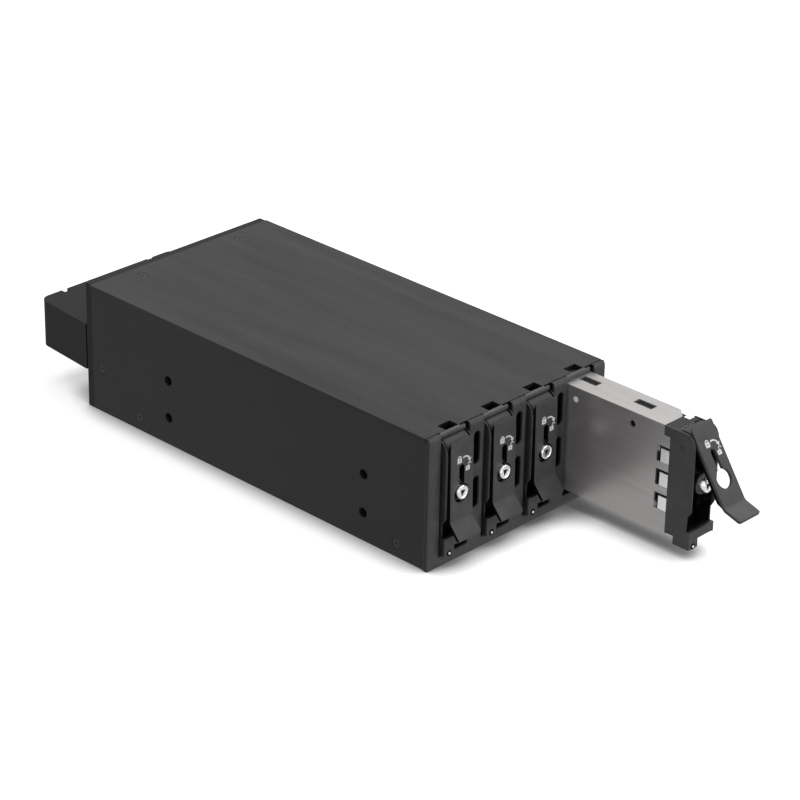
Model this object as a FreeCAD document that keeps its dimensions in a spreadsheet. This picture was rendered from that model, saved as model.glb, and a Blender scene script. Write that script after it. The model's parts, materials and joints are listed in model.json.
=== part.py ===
"""Hot swap drive cage: a low metal box with four upright drive trays side by side.

The frame is millimetres, +Z up, X to the right seen from the front, and the front looks along -Y.
The origin is the middle of the underside. The fourth tray stands pulled out with its lever open.
"""
import FreeCAD
import Part
import Sketcher
import os
import re

# Driving dimensions: name, value, meaning
SIZES = (
    ("cage_width", 70.6, "width over the top cover"),
    ("cage_height", 39.9, "height of the box, for a half height 5.25 inch bay"),
    ("cage_length", 138.6, "length of the box, front edge of the cover to the rear face"),
    ("side_inset", 0.4, "how far the cover hangs over each side panel"),
    ("side_gauge", 1.2, "thickness of the side panels"),
    ("floor_gauge", 1.2, "thickness of the bottom plate"),
    ("cover_gauge", 1.2, "thickness of the top cover"),
    ("flange_height", 7.2, "height of the upturned edges of the bottom plate"),
    ("bay_margin", 1.7, "side of the cover to the room of the first bay"),
    ("opening_gap", 0.4, "gap between a tray and each side of its bay opening"),
    ("opening_bottom", 3.1, "height of the lower edge of a bay opening"),
    ("opening_head", 1.6, "top of the box to the upper edge of a bay opening"),
    ("frame_proud", 1.75, "how far the front frame stands out of the box"),
    ("frame_spigot", 4.0, "how far the front frame reaches into the box"),
    ("frame_rounding", 0.9, "edge rounding of the front frame"),
    ("bar_drop", 0.5, "how far the bar over a bay lies below the frame"),
    ("bar_inset", 0.9, "how far the bar over a bay lies behind the frame"),
    ("vent_width", 2.4, "width of the air slots between the bays"),
    ("low_vent_bottom", 13.2, "lower end of the lower air slots"),
    ("low_vent_top", 22.6, "upper end of the lower air slots"),
    ("high_vent_bottom", 26.4, "lower end of the upper air slots"),
    ("high_vent_drop", 3.6, "top of the box to the upper end of the upper air slots"),
    ("latch_hole_width", 4.8, "width of the latch holes in the cover"),
    ("latch_hole_length", 3.1, "length of the latch holes in the cover"),
    ("mount_setback", 23.1, "front edge of the box to the first side mounting hole"),
    ("mount_spacing", 79.25, "distance between the side mounting holes"),
    ("mount_low", 8.6, "height of the lower side mounting holes"),
    ("mount_rise", 11.84, "height between the two rows of side mounting holes"),
    ("mount_radius", 1.5, "radius of the side mounting holes"),
    ("screw_radius", 0.8, "shank radius of the small screws"),
    ("screw_head_radius", 1.5, "head radius of the small screws"),
    ("screw_head_height", 0.5, "head height of the small screws"),
    ("screw_end_gap", 0.1, "inner face of a flange to the end of its screw"),
    ("flange_screw_height", 4.1, "height of the screws along the bottom edge"),
    ("flange_screw_front", 10.4, "front edge of the box to the front screw"),
    ("flange_screw_rear", 23.2, "rear face of the box to the rear screw in the bottom edge"),
    ("end_screw_height", 14.0, "height of the screws in the rear end"),
    ("end_screw_inset", 6.8, "rear face to the screws in the rear end"),
    ("cover_screw_inset", 8.0, "rear face to the screws in the cover"),
    ("cover_screw_offset", 19.4, "centre line to the screws in the cover"),
    ("end_strip", 3.0, "visible length of the rear frame"),
    ("end_spigot", 8.8, "how far the rear frame reaches into the box"),
    ("end_wall", 1.5, "wall of the rear frame"),
    ("panel_gauge", 1.2, "thickness of the rear panel"),
    ("hood_gap", 1.3, "gap between the hood and the power socket"),
    ("hood_taper", 1.9, "how far each side of the hood runs in towards its end"),
    ("hood_length", 23.2, "length of the hood"),
    ("hood_bottom", 11.6, "height of the underside of the hood"),
    ("hood_drop", 1.7, "underside of the rear board to the top of the hood"),
    ("hood_wall", 1.6, "wall of the hood"),
    ("hood_slot_width", 6.4, "width of the outlet slots in the hood"),
    ("hood_slot_margin", 3.5, "side of the hood to the room of its first outlet slot"),
    ("hood_slot_edge", 2.85, "upper and lower edge of the hood to its outlet slots"),
    ("hood_rounding", 3.5, "rounding of the end corners of the hood"),
    ("hood_notch_width", 2.2, "width of the notches in the top edge of the hood"),
    ("hood_notch_depth", 1.1, "depth of the notches in the top edge of the hood"),
    ("hood_notch_spacing", 34.0, "distance between the notches in the hood"),
    ("hood_screw_inset", 4.4, "side of the hood to the screws that hold it"),
    ("hood_screw_length", 5.0, "shank length of the screws that hold the hood"),
    ("hood_boss_size", 3.2, "side of the screw bosses in the hood"),
    ("hood_boss_length", 6.0, "length of the screw bosses in the hood"),
    ("window_margin", 6.9, "side of the hood to the air window in the rear panel"),
    ("rear_room", 32.0, "length of the room between the backplane and the rear panel"),
    ("board_gauge", 1.6, "thickness of the circuit boards"),
    ("backplane_slot_width", 4.6, "width of the air slots in the backplane"),
    ("connector_depth", 4.6, "depth of the bay connectors"),
    ("connector_width", 5.0, "width of the bay connectors"),
    ("connector_height", 22.0, "height of the bay connectors"),
    ("mating_gap", 0.4, "gap between a tray connector and its bay connector"),
    ("data_headroom", 1.6, "gap between the data sockets and the roof of the rear frame"),
    ("io_board_inset", 2.2, "gap between the rear board and each side of the rear frame"),
    ("data_socket_width", 11.6, "width of a data socket"),
    ("data_socket_height", 6.0, "height of a data socket"),
    ("data_socket_length", 14.0, "length of a data socket"),
    ("data_left_inset", 2.5, "rear frame to the first data socket"),
    ("data_right_inset", 6.5, "last data socket to the rear frame"),
    ("socket_wall", 0.8, "wall of the sockets"),
    ("socket_proud", 0.6, "how far the sockets stand out of the rear panel"),
    ("socket_mouth_depth", 8.0, "depth of the mouth of a socket"),
    ("power_socket_width", 8.4, "width of the power socket"),
    ("power_socket_height", 17.0, "height of the power socket"),
    ("power_socket_length", 14.0, "length of the power socket"),
    ("power_socket_gap", 0.6, "gap between the power socket and the rear frame"),
    ("power_socket_drop", 2.0, "underside of the rear board to the power socket"),
    ("power_pin_radius", 1.5, "radius of the contact holes in the power socket"),
    ("power_pin_pitch", 4.2, "distance between those holes"),
    ("guide_floor", 4.9, "height of the floor of the lower guide"),
    ("guide_rib", 3.0, "height of the ribs of both guides"),
    ("guide_head", 1.7, "top of the box to the roof of the upper guide"),
    ("blower_size", 20.0, "side of a blower case"),
    ("blower_height", 10.0, "height of a blower case"),
    ("blower_rise", 0.2, "lower edge of the air window to the underside of the blowers"),
    ("blower_gap", 0.8, "gap between the two blowers"),
    ("blower_side_gap", 0.3, "gap between the rear frame and the first blower"),
    ("blower_wall", 1.2, "wall of a blower case"),
    ("blower_setback", 0.8, "gap between a blower and the rear panel"),
    ("wheel_edge", 2.4, "side of a blower case to its wheel"),
    ("wheel_hub_radius", 3.2, "radius of the hub of a blower wheel"),
    ("wheel_clearance", 0.5, "gap around a blower wheel"),
    ("wheel_disc_gauge", 0.8, "thickness of the disc of a blower wheel"),
    ("blade_length", 3.0, "length of the blades of a blower wheel"),
    ("blade_gauge", 0.5, "thickness of a blower blade"),
    ("blade_sweep", 1.4, "how far the tip of a blade lies ahead of its root"),
    ("axle_radius", 1.0, "radius of a blower axle"),
    ("axle_clearance", 0.05, "gap between a wheel and its axle"),
    ("inlet_inset", 1.8, "rim of a blower wheel to the edge of its inlet"),
    ("post_radius", 1.4, "radius of the posts under the blowers"),
    ("post_inset", 1.8, "edge of a blower case to its posts"),
    ("tray_width", 10.4, "width of a tray"),
    ("tray_clearance", 0.3, "gap between a tray and the floor and roof of its guides"),
    ("tray_end_gap", 8.6, "rear end of a tray to the backplane"),
    ("tray_gauge", 0.6, "thickness of the tray steel"),
    ("tray_out", 43.3, "how far the fourth tray stands out"),
    ("tray_slot_width", 2.7, "width of the slots in the top of a tray"),
    ("tray_slot_length", 6.4, "length of the slots in the top of a tray"),
    ("tray_slot_shift", 0.6, "middle of a tray to those slots, to the right"),
    ("tray_slot_first", 13.9, "bezel to the middle of the first slot"),
    ("tray_slot_last", 16.7, "middle of the last slot to the rear end of a tray"),
    ("tray_chamfer", 3.0, "chamfer at the front corner of the tray top"),
    ("tray_tab_length", 3.0, "length of the bent tab in each window"),
    ("tray_tab_height", 4.0, "height of the bent tab in each window"),
    ("tray_tab_inset", 0.2, "how far the bent tabs lie inside the tray wall"),
    ("tray_hole_radius", 1.0, "radius of the small hole in the tray wall"),
    ("tray_hole_setback", 13.2, "bezel to the small hole in the tray wall"),
    ("tray_hole_drop", 3.7, "tray top to the small hole in the tray wall"),
    ("tray_window_length", 4.3, "length of the windows beside the bezel"),
    ("tray_window_height", 4.9, "height of the windows beside the bezel"),
    ("tray_window_low", 12.1, "height of the lowest window"),
    ("tray_window_pitch", 7.2, "height between the windows"),
    ("bezel_front", 3.4, "how far the bezels stand out of the box"),
    ("bezel_depth", 8.6, "length of a bezel"),
    ("bezel_wall", 0.5, "wall of a bezel"),
    ("bezel_corner_drop", 4.8, "height of the slanted upper corner of the bezel walls"),
    ("bezel_corner_depth", 3.0, "depth of that corner"),
    ("bezel_web_drop", 2.4, "lever hinge to the top of the cross wall of a bezel"),
    ("bezel_bottom", 5.9, "height of the underside of the bezel walls"),
    ("bezel_bar_top", 8.9, "height of the top of the bar across the foot of a bezel"),
    ("bezel_grip_top", 15.2, "height of the top of the finger recess in a bezel"),
    ("bezel_grip_slope", 2.2, "height of the slanted top of the finger recess"),
    ("bezel_grip_depth", 1.3, "depth of the finger recess in the bezel walls"),
    ("bezel_web_gauge", 1.0, "thickness of the cross wall of a bezel"),
    ("bezel_bar_height", 2.8, "height of the bar across the foot of a bezel"),
    ("bezel_bar_depth", 2.6, "depth of that bar"),
    ("bezel_roof_gauge", 0.8, "thickness of the roof of a bezel"),
    ("bezel_roof_length", 2.5, "length of the roof of a bezel"),
    ("bezel_hook_length", 2.1, "how far a bezel reaches over its steel tray"),
    ("bezel_hook_height", 3.0, "height of the part that reaches over"),
    ("bezel_foot_depth", 5.6, "depth of the foot that holds the light pipe"),
    ("bezel_foot_width", 3.8, "width of the foot that holds the light pipe"),
    ("bezel_foot_bottom", 3.5, "height of the underside of that foot"),
    ("light_pipe_radius", 0.6, "radius of a light pipe"),
    ("light_pipe_length", 6.0, "length of a light pipe"),
    ("light_pipe_proud", 0.3, "how far a light pipe stands out of its bezel"),
    ("light_pipe_offset", 3.3, "middle of a tray to its light pipe, to the left"),
    ("light_pipe_rise", 0.7, "underside of the foot of a bezel to its light pipe"),
    ("hinge_drop", 4.5, "tray top to the lever hinge"),
    ("hinge_setback", 5.2, "front of a closed lever to its hinge"),
    ("hinge_pin_radius", 0.8, "radius of a hinge pin"),
    ("hinge_clearance", 0.05, "gap between a lever and its hinge pin"),
    ("hinge_eye_radius", 1.7, "radius of the eye of a lever"),
    ("lever_front", 4.3, "how far a closed lever stands out of the box"),
    ("lever_side_gap", 0.3, "gap between a lever and each bezel wall"),
    ("lever_rim_width", 0.7, "width of the rims behind the side edges of a lever"),
    ("lever_rim_depth", 1.9, "depth of those rims, with the plate"),
    ("sleeve_gap", 0.4, "gap between a closed lever and the sleeve of its lock"),
    ("lever_gauge", 1.0, "thickness of a lever"),
    ("lever_kink", 14.1, "height of the bend at the foot of a lever"),
    ("lip_length", 5.8, "length of the finger lip of a lever"),
    ("lip_angle", 40.0, "angle of the finger lip"),
    ("lever_arm_height", 1.8, "height of the arm from a lever to its hinge"),
    ("lever_rim_top", 1.0, "hinge to the top of the rims of a lever"),
    ("lever_top_gap", 0.7, "gap between the top of a lever and the top of its bay opening"),
    ("lever_top_slope", 1.3, "height of the slanted top edge of a lever"),
    ("keyhole_slot", 2.0, "width of the narrow part of the keyhole"),
    ("keyhole_gap", 0.75, "gap between a lock and the round part of its keyhole"),
    ("keyhole_drop", 0.4, "middle of a lock to the middle of its keyhole, downwards"),
    ("keyhole_top_drop", 4.2, "lever hinge to the top of the keyhole"),
    ("lever_open", 33.0, "opening angle of the fourth lever"),
    ("lock_radius", 2.05, "radius of a lock cylinder"),
    ("lock_height", 22.1, "height of the locks"),
    ("lock_proud", 0.6, "how far a lock stands out of its closed lever"),
    ("lock_clearance", 0.05, "gap between a lock and its sleeve"),
    ("lock_sleeve_wall", 1.0, "wall of the sleeve around a lock"),
    ("lock_cam_gap", 0.4, "gap between the cam and the bezel"),
    ("lock_cam_length", 4.2, "reach of the cam behind a lock"),
    ("lock_cam_width", 2.0, "width of that cam"),
    ("lock_cam_gauge", 0.8, "thickness of that cam"),
    ("key_slot_width", 0.8, "width of the key slot"),
    ("key_slot_height", 2.2, "height of the key slot"),
    ("key_slot_depth", 1.5, "depth of the key slot"),
    ("drive_board_drop", 4.9, "tray top to the upper edge of the board in a tray"),
    ("drive_board_bottom", 9.8, "height of the lower edge of the board in a tray"),
    ("drive_board_standoff", 1.0, "gap between a tray wall and its board"),
    ("drive_screw_inset", 3.0, "edges of that board to its screws"),
    ("drive_screw_radius", 0.7, "shank radius of the screws of that board"),
    ("drive_screw_head_radius", 1.3, "head radius of the screws of that board"),
    ("drive_screw_head_height", 0.6, "head height of the screws of that board"),
    ("drive_board_start", 2.0, "bezel to the front edge of the board in a tray"),
    ("drive_socket_height", 19.0, "height of the drive socket"),
    ("drive_socket_length", 6.4, "length of the drive socket"),
    ("drive_socket_depth", 3.2, "how far the drive socket stands off the board"),
    ("drive_socket_setback", 9.0, "rear end of a tray to the drive socket"),
    ("plug_gap", 0.7, "gap between the rear screws of that board and the plug"),
    ("plug_width", 3.0, "width of the plug at the rear of a tray"),
    ("plug_height", 19.0, "height of the plug at the rear of a tray"),
)
SIZE_NAMES = {name for name, value, note in SIZES}

BAYS = (1, 2, 3, 4)
OPEN_BAY = BAYS[-1]
BLOWERS = ("left", "right")
VENT_ROWS = (("low_vent_bottom", "low_vent_top"), ("high_vent_bottom", "high_vent_top"))
HOOD_SLOTS = 5
DATA_SOCKETS = 4
POWER_PINS = 4
TRAY_SLOTS = 4
TRAY_WINDOWS = 3
WHEEL_BLADES = 18
MAX_NAME_LENGTH = 60
MAX_NODES = 60

# Places and sizes worked out from the driving dimensions
PLACES = {
    "front": "(0 - cage_length / 2)",
    "rear": "(cage_length / 2)",
    "side_half": "(cage_width / 2 - side_inset)",
    "inner_half": "(side_half - side_gauge)",
    "floor_half": "(inner_half - floor_gauge)",
    "panel_top": "(cage_height - cover_gauge)",
    "frame_face": "(front - frame_proud)",
    "bay_pitch": f"((cage_width - 2 * bay_margin) / {len(BAYS)})",
    "opening_width": "(tray_width + 2 * opening_gap)",
    "opening_top": "(cage_height - opening_head)",
    "high_vent_top": "(cage_height - high_vent_drop)",
    "screw_length": "(side_gauge - screw_head_height + floor_gauge - screw_end_gap)",
    "spigot_end": "(front + frame_spigot)",
    "end_ring": "(rear - end_strip)",
    "end_front": "(end_ring - end_spigot)",
    "end_half": "(inner_half - end_wall)",
    "end_floor": "(floor_gauge + end_wall)",
    "end_roof": "(panel_top - end_wall)",
    "panel_front": "(rear - panel_gauge)",
    "backplane_rear": "(panel_front - rear_room)",
    "backplane": "(backplane_rear - board_gauge)",
    "io_board_top": "(end_roof - data_headroom - data_socket_height)",
    "io_board_height": "(io_board_top - board_gauge)",
    "io_board_half": "(end_half - io_board_inset)",
    "data_first": "(data_left_inset + data_socket_width / 2 - end_half)",
    "data_last": "(end_half - data_right_inset - data_socket_width / 2)",
    "data_socket_pitch": f"((data_last - data_first) / {DATA_SOCKETS - 1})",
    "power_socket_left": "(end_half - power_socket_gap - power_socket_width)",
    "power_socket_place": "(power_socket_left + power_socket_width / 2)",
    "power_socket_bottom": "(io_board_height - power_socket_drop - power_socket_height)",
    "hood_left": "(0 - side_half)",
    "hood_width": "(power_socket_left - hood_gap - hood_left)",
    "hood_middle": "(hood_left + hood_width / 2)",
    "hood_end_left": "(hood_left + hood_taper)",
    "hood_end_width": "(hood_width - 2 * hood_taper)",
    "hood_end": "(rear + hood_length)",
    "hood_top": "(io_board_height - hood_drop)",
    "hood_slot_pitch": f"((hood_end_width - 2 * hood_slot_margin) / {HOOD_SLOTS})",
    "hood_slot_height": "(hood_top - hood_bottom - 2 * hood_slot_edge)",
    "blower_bottom": "(hood_bottom + hood_wall + blower_rise)",
    "wheel_radius": "(blower_size / 2 - wheel_edge)",
    "inlet_radius": "(wheel_radius - inlet_inset)",
    "guide_roof": "(cage_height - guide_head)",
    "tray_bottom": "(guide_floor + tray_clearance)",
    "tray_top": "(guide_roof - tray_clearance)",
    "bezel_face": "(front - bezel_front)",
    "bezel_rear": "(bezel_face + bezel_depth)",
    "tray_rear": "(backplane - tray_end_gap)",
    "tray_slot_span": "(tray_rear - bezel_rear - tray_slot_first - tray_slot_last)",
    "tray_slot_pitch": f"(tray_slot_span / {TRAY_SLOTS - 1})",
    "tray_left": "(0 - tray_width / 2)",
    "lever_face": "(front - lever_front)",
    "hinge_place": "(lever_face + hinge_setback)",
    "hinge_height": "(tray_top - hinge_drop)",
    "light_pipe_height": "(bezel_foot_bottom + light_pipe_rise)",
    "web_front": "(bezel_rear - bezel_web_gauge)",
    "web_top": "(hinge_height - bezel_web_drop)",
    "tray_right": "(tray_width / 2)",
    "tray_wall": "(tray_left + tray_gauge)",
    "lock_face": "(lever_face - lock_proud)",
    "lock_end": "(bezel_rear + lock_cam_gap)",
    "lever_back": "(lever_gauge - hinge_setback)",
    "lever_width": "(tray_width - 2 * bezel_wall - 2 * lever_side_gap)",
    "lever_top": "(opening_top - hinge_height - lever_top_gap)",
    "keyhole_radius": "(lock_radius + keyhole_gap)",
    "kink_place": "(lever_kink - hinge_height)",
    "board_left": "(tray_wall + drive_board_standoff)",
    "board_face": "(board_left + board_gauge)",
    "board_front": "(bezel_rear + drive_board_start)",
    "plug_end": "(backplane - connector_depth - mating_gap)",
    "drive_board_top": "(tray_top - drive_board_drop)",
    "rear_screw_place": "(tray_rear - drive_screw_inset)",
    "plug_start": "(rear_screw_place + drive_screw_head_radius + plug_gap)",
    "middle_height": "((drive_board_bottom + drive_board_top) / 2)",
}


doc = FreeCAD.newDocument("DriveCage")
sheet = doc.addObject("Spreadsheet::Sheet", "Sizes")
for row, (size_name, size_value, size_note) in enumerate(SIZES, 1):
    sheet.set(f"A{row}", size_name)
    sheet.set(f"B{row}", str(size_value))
    sheet.setAlias(f"B{row}", size_name)
    sheet.set(f"C{row}", size_note)
doc.recompute()

nodes = []


def formula(text):
    """Turn a formula in the names above into an expression on the sheet."""
    def lookup(match):
        word = match.group(0)
        if word in PLACES:
            return formula(PLACES[word])
        if word in SIZE_NAMES:
            return "Sizes." + word
        return word
    return re.sub(r"[a-z][a-z_]+", lookup, text)


def value(text):
    """Work out such a formula as a plain number."""
    return float(sheet.evalExpression(formula(text)))


def move(piece, x="0", y="0", z="0"):
    """Bind the place of a piece to the sheet."""
    for axis, text in zip("xyz", (x, y, z)):
        piece.setExpression("Placement.Base." + axis, formula(text))
    return piece


def block(low, size):
    """Make a box from its lowest corner and its size along X, Y and Z."""
    piece = doc.addObject("Part::Box", "Block")
    for side, text in zip(("Length", "Width", "Height"), size):
        piece.setExpression(side, formula(text))
    return move(piece, *low)


def between(low, high):
    """Make a box from its lowest and its highest corner."""
    return block(low, [f"({top}) - ({bottom})" for bottom, top in zip(low, high)])


def rod(radius, length, start, axis="Z"):
    """Make a cylinder that runs from its start along X, Y or Z."""
    piece = doc.addObject("Part::Cylinder", "Rod")
    turns = {
        "X": FreeCAD.Rotation(FreeCAD.Vector(0, 1, 0), 90),
        "Y": FreeCAD.Rotation(FreeCAD.Vector(1, 0, 0), -90),
        "Z": FreeCAD.Rotation(),
    }
    piece.Placement.Rotation = turns[axis]
    piece.setExpression("Radius", formula(radius))
    piece.setExpression("Height", formula(length))
    return move(piece, *start)


def join(pieces):
    """Fuse touching pieces into one solid."""
    piece = doc.addObject("Part::MultiFuse", "Join")
    piece.Shapes = pieces
    piece.Refine = True
    return piece


def group(pieces):
    """Keep pieces together as separate solids."""
    piece = doc.addObject("Part::Compound", "Group")
    piece.Links = pieces
    return piece


def cut(base, tools):
    """Take the tools away from the base."""
    piece = doc.addObject("Part::Cut", "Cut")
    piece.Base = base
    piece.Tool = tools[0] if len(tools) == 1 else group(tools)
    piece.Refine = True
    return piece


def node(label, piece):
    """Register a finished sub-part under the name of its file."""
    piece.Label = label
    nodes.append(piece)
    return piece


def plane(body, role):
    """Find one of the origin planes of a body."""
    return next(part for part in body.Origin.OriginFeatures if part.Role == role)


def new_sketch(body, role, name):
    """Start a sketch on an origin plane of a body."""
    sketch = body.newObject("Sketcher::SketchObject", name)
    sketch.AttachmentSupport = (plane(body, role), [""])
    sketch.MapMode = "FlatFace"
    return sketch


def tie_point(sketch, edge, point, across, up):
    """Hold one end of an edge at a place that the sheet gives."""
    for kind, text in (("DistanceX", across), ("DistanceY", up)):
        index = sketch.addConstraint(Sketcher.Constraint(kind, -1, 1, edge, point, value(text)))
        sketch.setExpression(f"Constraints[{index}]", formula(text))


def draw_polygon(sketch, corners):
    """Draw a closed polygon whose corners are tied to the sheet."""
    points = [FreeCAD.Vector(value(across), value(up), 0) for across, up in corners]
    first = sketch.GeometryCount
    count = len(points)
    for index in range(count):
        sketch.addGeometry(Part.LineSegment(points[index], points[(index + 1) % count]), False)
    for index in range(count):
        following = first + (index + 1) % count
        sketch.addConstraint(Sketcher.Constraint("Coincident", first + index, 2, following, 1))
    for index, (across, up) in enumerate(corners):
        tie_point(sketch, first + index, 1, across, up)


def draw_circle(sketch, across, up, radius):
    """Draw a circle tied to the sheet."""
    centre = FreeCAD.Vector(value(across), value(up), 0)
    edge = sketch.addGeometry(Part.Circle(centre, FreeCAD.Vector(0, 0, 1), value(radius)), False)
    tie_point(sketch, edge, 3, across, up)
    index = sketch.addConstraint(Sketcher.Constraint("Radius", edge, value(radius)))
    sketch.setExpression(f"Constraints[{index}]", formula(radius))


def rectangle(low_across, low_up, high_across, high_up):
    """List the corners of a rectangle."""
    return (
        (low_across, low_up),
        (high_across, low_up),
        (high_across, high_up),
        (low_across, high_up),
    )


def pad(body, sketch, length, reverse=False, middle=False):
    """Raise a sketch into a solid."""
    feature = body.newObject("PartDesign::Pad", "Pad")
    feature.Profile = sketch
    feature.setExpression("Length", formula(length))
    feature.Reversed = reverse
    feature.Midplane = middle
    return feature


def pocket_through(body, sketch):
    """Cut a sketch right through a body, both ways."""
    feature = body.newObject("PartDesign::Pocket", "Pocket")
    feature.Profile = sketch
    feature.Type = "ThroughAll"
    feature.Midplane = True
    return feature


def sheet_body(name, role, corners, gauge, reverse=False, circles=(), windows=()):
    """Make a flat plate on an origin plane with round holes and windows."""
    body = doc.addObject("PartDesign::Body", name)
    outline = new_sketch(body, role, "Outline")
    draw_polygon(outline, corners)
    pad(body, outline, gauge, reverse)
    if circles or windows:
        holes = new_sketch(body, role, "Holes")
        for across, up, radius in circles:
            draw_circle(holes, across, up, radius)
        for window in windows:
            draw_polygon(holes, rectangle(*window))
        pocket_through(body, holes)
    return body


def bay_centre(bay):
    """Give the X place of a bay."""
    return f"({bay - 2.5} * bay_pitch)"


def pull(bay):
    """Give the Y shift of a tray at rest."""
    return "(0 - tray_out)" if bay == OPEN_BAY else "0"


def side_screw_places():
    """List the Y and Z places of the small screws in each side."""
    return (
        ("front + flange_screw_front", "flange_screw_height"),
        ("rear - flange_screw_rear", "flange_screw_height"),
        ("rear - end_screw_inset", "end_screw_height"),
    )


def sink_heads(body, role, places, reverse):
    """Sink round seats for screw heads into the outer face of a plate."""
    seats = new_sketch(body, role, "Seats")
    for across, up in places:
        draw_circle(seats, across, up, "screw_head_radius")
    feature = body.newObject("PartDesign::Pocket", "SeatPocket")
    feature.Profile = seats
    feature.setExpression("Length", formula("screw_head_height"))
    feature.Reversed = not reverse


def side_panel(label, outer_face, reverse):
    """Make one side panel with its mounting holes and screw seats."""
    first = "front + mount_setback"
    second = "front + mount_setback + mount_spacing"
    circles = []
    for across in (first, second):
        circles.append((across, "mount_low", "mount_radius"))
        circles.append((across, "mount_low + mount_rise", "mount_radius"))
    for across, up in side_screw_places():
        circles.append((across, up, "screw_radius"))
    corners = rectangle("front", "0", "end_ring", "panel_top")
    body = sheet_body(label, "YZ_Plane", corners, "side_gauge", reverse, circles)
    sink_heads(body, "YZ_Plane", side_screw_places(), reverse)
    node(label, move(body, outer_face))


def cover_screw_places():
    """List the X and Y places of the screws in the cover."""
    return (
        ("0 - cover_screw_offset", "rear - cover_screw_inset"),
        ("cover_screw_offset", "rear - cover_screw_inset"),
    )


def top_cover():
    """Make the brushed cover with a latch hole at the front of each bay."""
    corners = [("0 - cage_width / 2", "front")]
    for bay in BAYS:
        low = f"{bay_centre(bay)} - latch_hole_width / 2"
        high = f"{bay_centre(bay)} + latch_hole_width / 2"
        corners.append((low, "front"))
        corners.append((low, "front + latch_hole_length"))
        corners.append((high, "front + latch_hole_length"))
        corners.append((high, "front"))
    corners.append(("cage_width / 2", "front"))
    corners.append(("cage_width / 2", "end_ring"))
    corners.append(("0 - cage_width / 2", "end_ring"))
    circles = [(across, up, "screw_radius") for across, up in cover_screw_places()]
    body = sheet_body("top_cover", "XY_Plane", corners, "cover_gauge", True, circles)
    sink_heads(body, "XY_Plane", cover_screw_places(), True)
    node("top_cover", move(body, z="cage_height"))


def bottom_plate():
    """Make the floor with its two upturned edges."""
    low = ("0 - inner_half", "front", "0")
    high = ("inner_half", "end_ring", "floor_gauge")
    pieces = [between(low, high)]
    for start, end in (("0 - inner_half", "0 - floor_half"), ("floor_half", "inner_half")):
        low = (start, "spigot_end", "0")
        pieces.append(between(low, (end, "end_front", "flange_height")))
    holes = []
    for across, up in side_screw_places()[:2]:
        holes.append(rod("screw_radius", "2 * inner_half", ("0 - inner_half", across, up), "X"))
    node("bottom_plate", cut(join(pieces), holes))


def round_edges(piece, radius, picked):
    """Round the edges whose middle point passes the test."""
    doc.recompute()
    size = value(radius)
    chosen = []
    for index, edge in enumerate(piece.Shape.Edges, 1):
        middle = edge.valueAt((edge.FirstParameter + edge.LastParameter) / 2)
        if picked(middle):
            chosen.append((index, size, size))
    fillet = doc.addObject("Part::Fillet", "Rounding")
    fillet.Base = piece
    fillet.Edges = chosen
    return fillet


def upright_slot(centre, start, length, bottom, top, width):
    """Make a cutter with round ends for an upright slot that runs along Y."""
    low = (f"{centre} - {width} / 2", start, f"{bottom} + {width} / 2")
    size = (width, length, f"{top} - {bottom} - {width}")
    pieces = [block(low, size)]
    for up in (f"{bottom} + {width} / 2", f"{top} - {width} / 2"):
        pieces.append(rod(f"{width} / 2", length, (centre, start, up), "Y"))
    return join(pieces)


def front_frame():
    """Make the moulded front frame with four openings and the air slots between them."""
    low = ("0 - cage_width / 2", "frame_face", "0")
    face = between(low, ("cage_width / 2", "front", "cage_height"))
    front_plane = value("frame_face")
    face = round_edges(face, "frame_rounding", lambda middle: abs(middle.y - front_plane) < 1e-6)
    low = ("0 - inner_half", "front", "floor_gauge")
    spigot = between(low, ("inner_half", "spigot_end", "panel_top"))
    tools = []
    for bay in BAYS:
        centre = bay_centre(bay)
        low = (f"{centre} - opening_width / 2", "frame_face", "opening_bottom")
        high = (f"{centre} + opening_width / 2", "spigot_end", "opening_top")
        tools.append(between(low, high))
        low = (f"{centre} - opening_width / 2", "frame_face", "cage_height - bar_drop")
        high = (f"{centre} + opening_width / 2", "front", "cage_height")
        tools.append(between(low, high))
        low = (f"{centre} - opening_width / 2", "frame_face", "opening_top")
        high = (f"{centre} + opening_width / 2", "frame_face + bar_inset", "cage_height")
        tools.append(between(low, high))
        low = (f"{centre} - latch_hole_width / 2", "front", "opening_top")
        high = (f"{centre} + latch_hole_width / 2", "front + latch_hole_length", "panel_top")
        tools.append(between(low, high))
    length = "frame_proud + frame_spigot"
    for bay in BAYS[:-1]:
        centre = f"({bay_centre(bay)} + bay_pitch / 2)"
        for bottom, top in VENT_ROWS:
            tools.append(upright_slot(centre, "frame_face", length, bottom, top, "vent_width"))
    node("front_frame", cut(join([face, spigot]), tools))


def rear_frame():
    """Make the frame that closes the rear edges of the box."""
    low = ("0 - side_half", "end_ring", "0")
    strip = between(low, ("side_half", "rear", "cage_height"))
    rear_plane = value("rear")
    strip = round_edges(strip, "frame_rounding", lambda middle: abs(middle.y - rear_plane) < 1e-6)
    low = ("0 - inner_half", "end_front", "floor_gauge")
    spigot = between(low, ("inner_half", "end_ring", "panel_top"))
    low = ("0 - end_half", "end_front", "end_floor")
    tools = [between(low, ("end_half", "rear", "end_roof"))]
    for across, up in side_screw_places()[2:]:
        tools.append(rod("screw_radius", "2 * inner_half", ("0 - inner_half", across, up), "X"))
    for across, up in cover_screw_places():
        tools.append(rod("screw_radius", "panel_top - end_roof", (across, up, "end_roof")))
    node("rear_frame", cut(join([strip, spigot]), tools))


def data_socket_centre(index):
    """Give the X place of a data socket."""
    return f"(data_first + {index} * data_socket_pitch)"


def hood_screw_places():
    """List the X and Z places of the screws that hold the hood."""
    middle = "(hood_bottom + hood_top) / 2"
    return (
        ("hood_left + hood_screw_inset", middle),
        ("hood_left + hood_width - hood_screw_inset", middle),
    )


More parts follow.
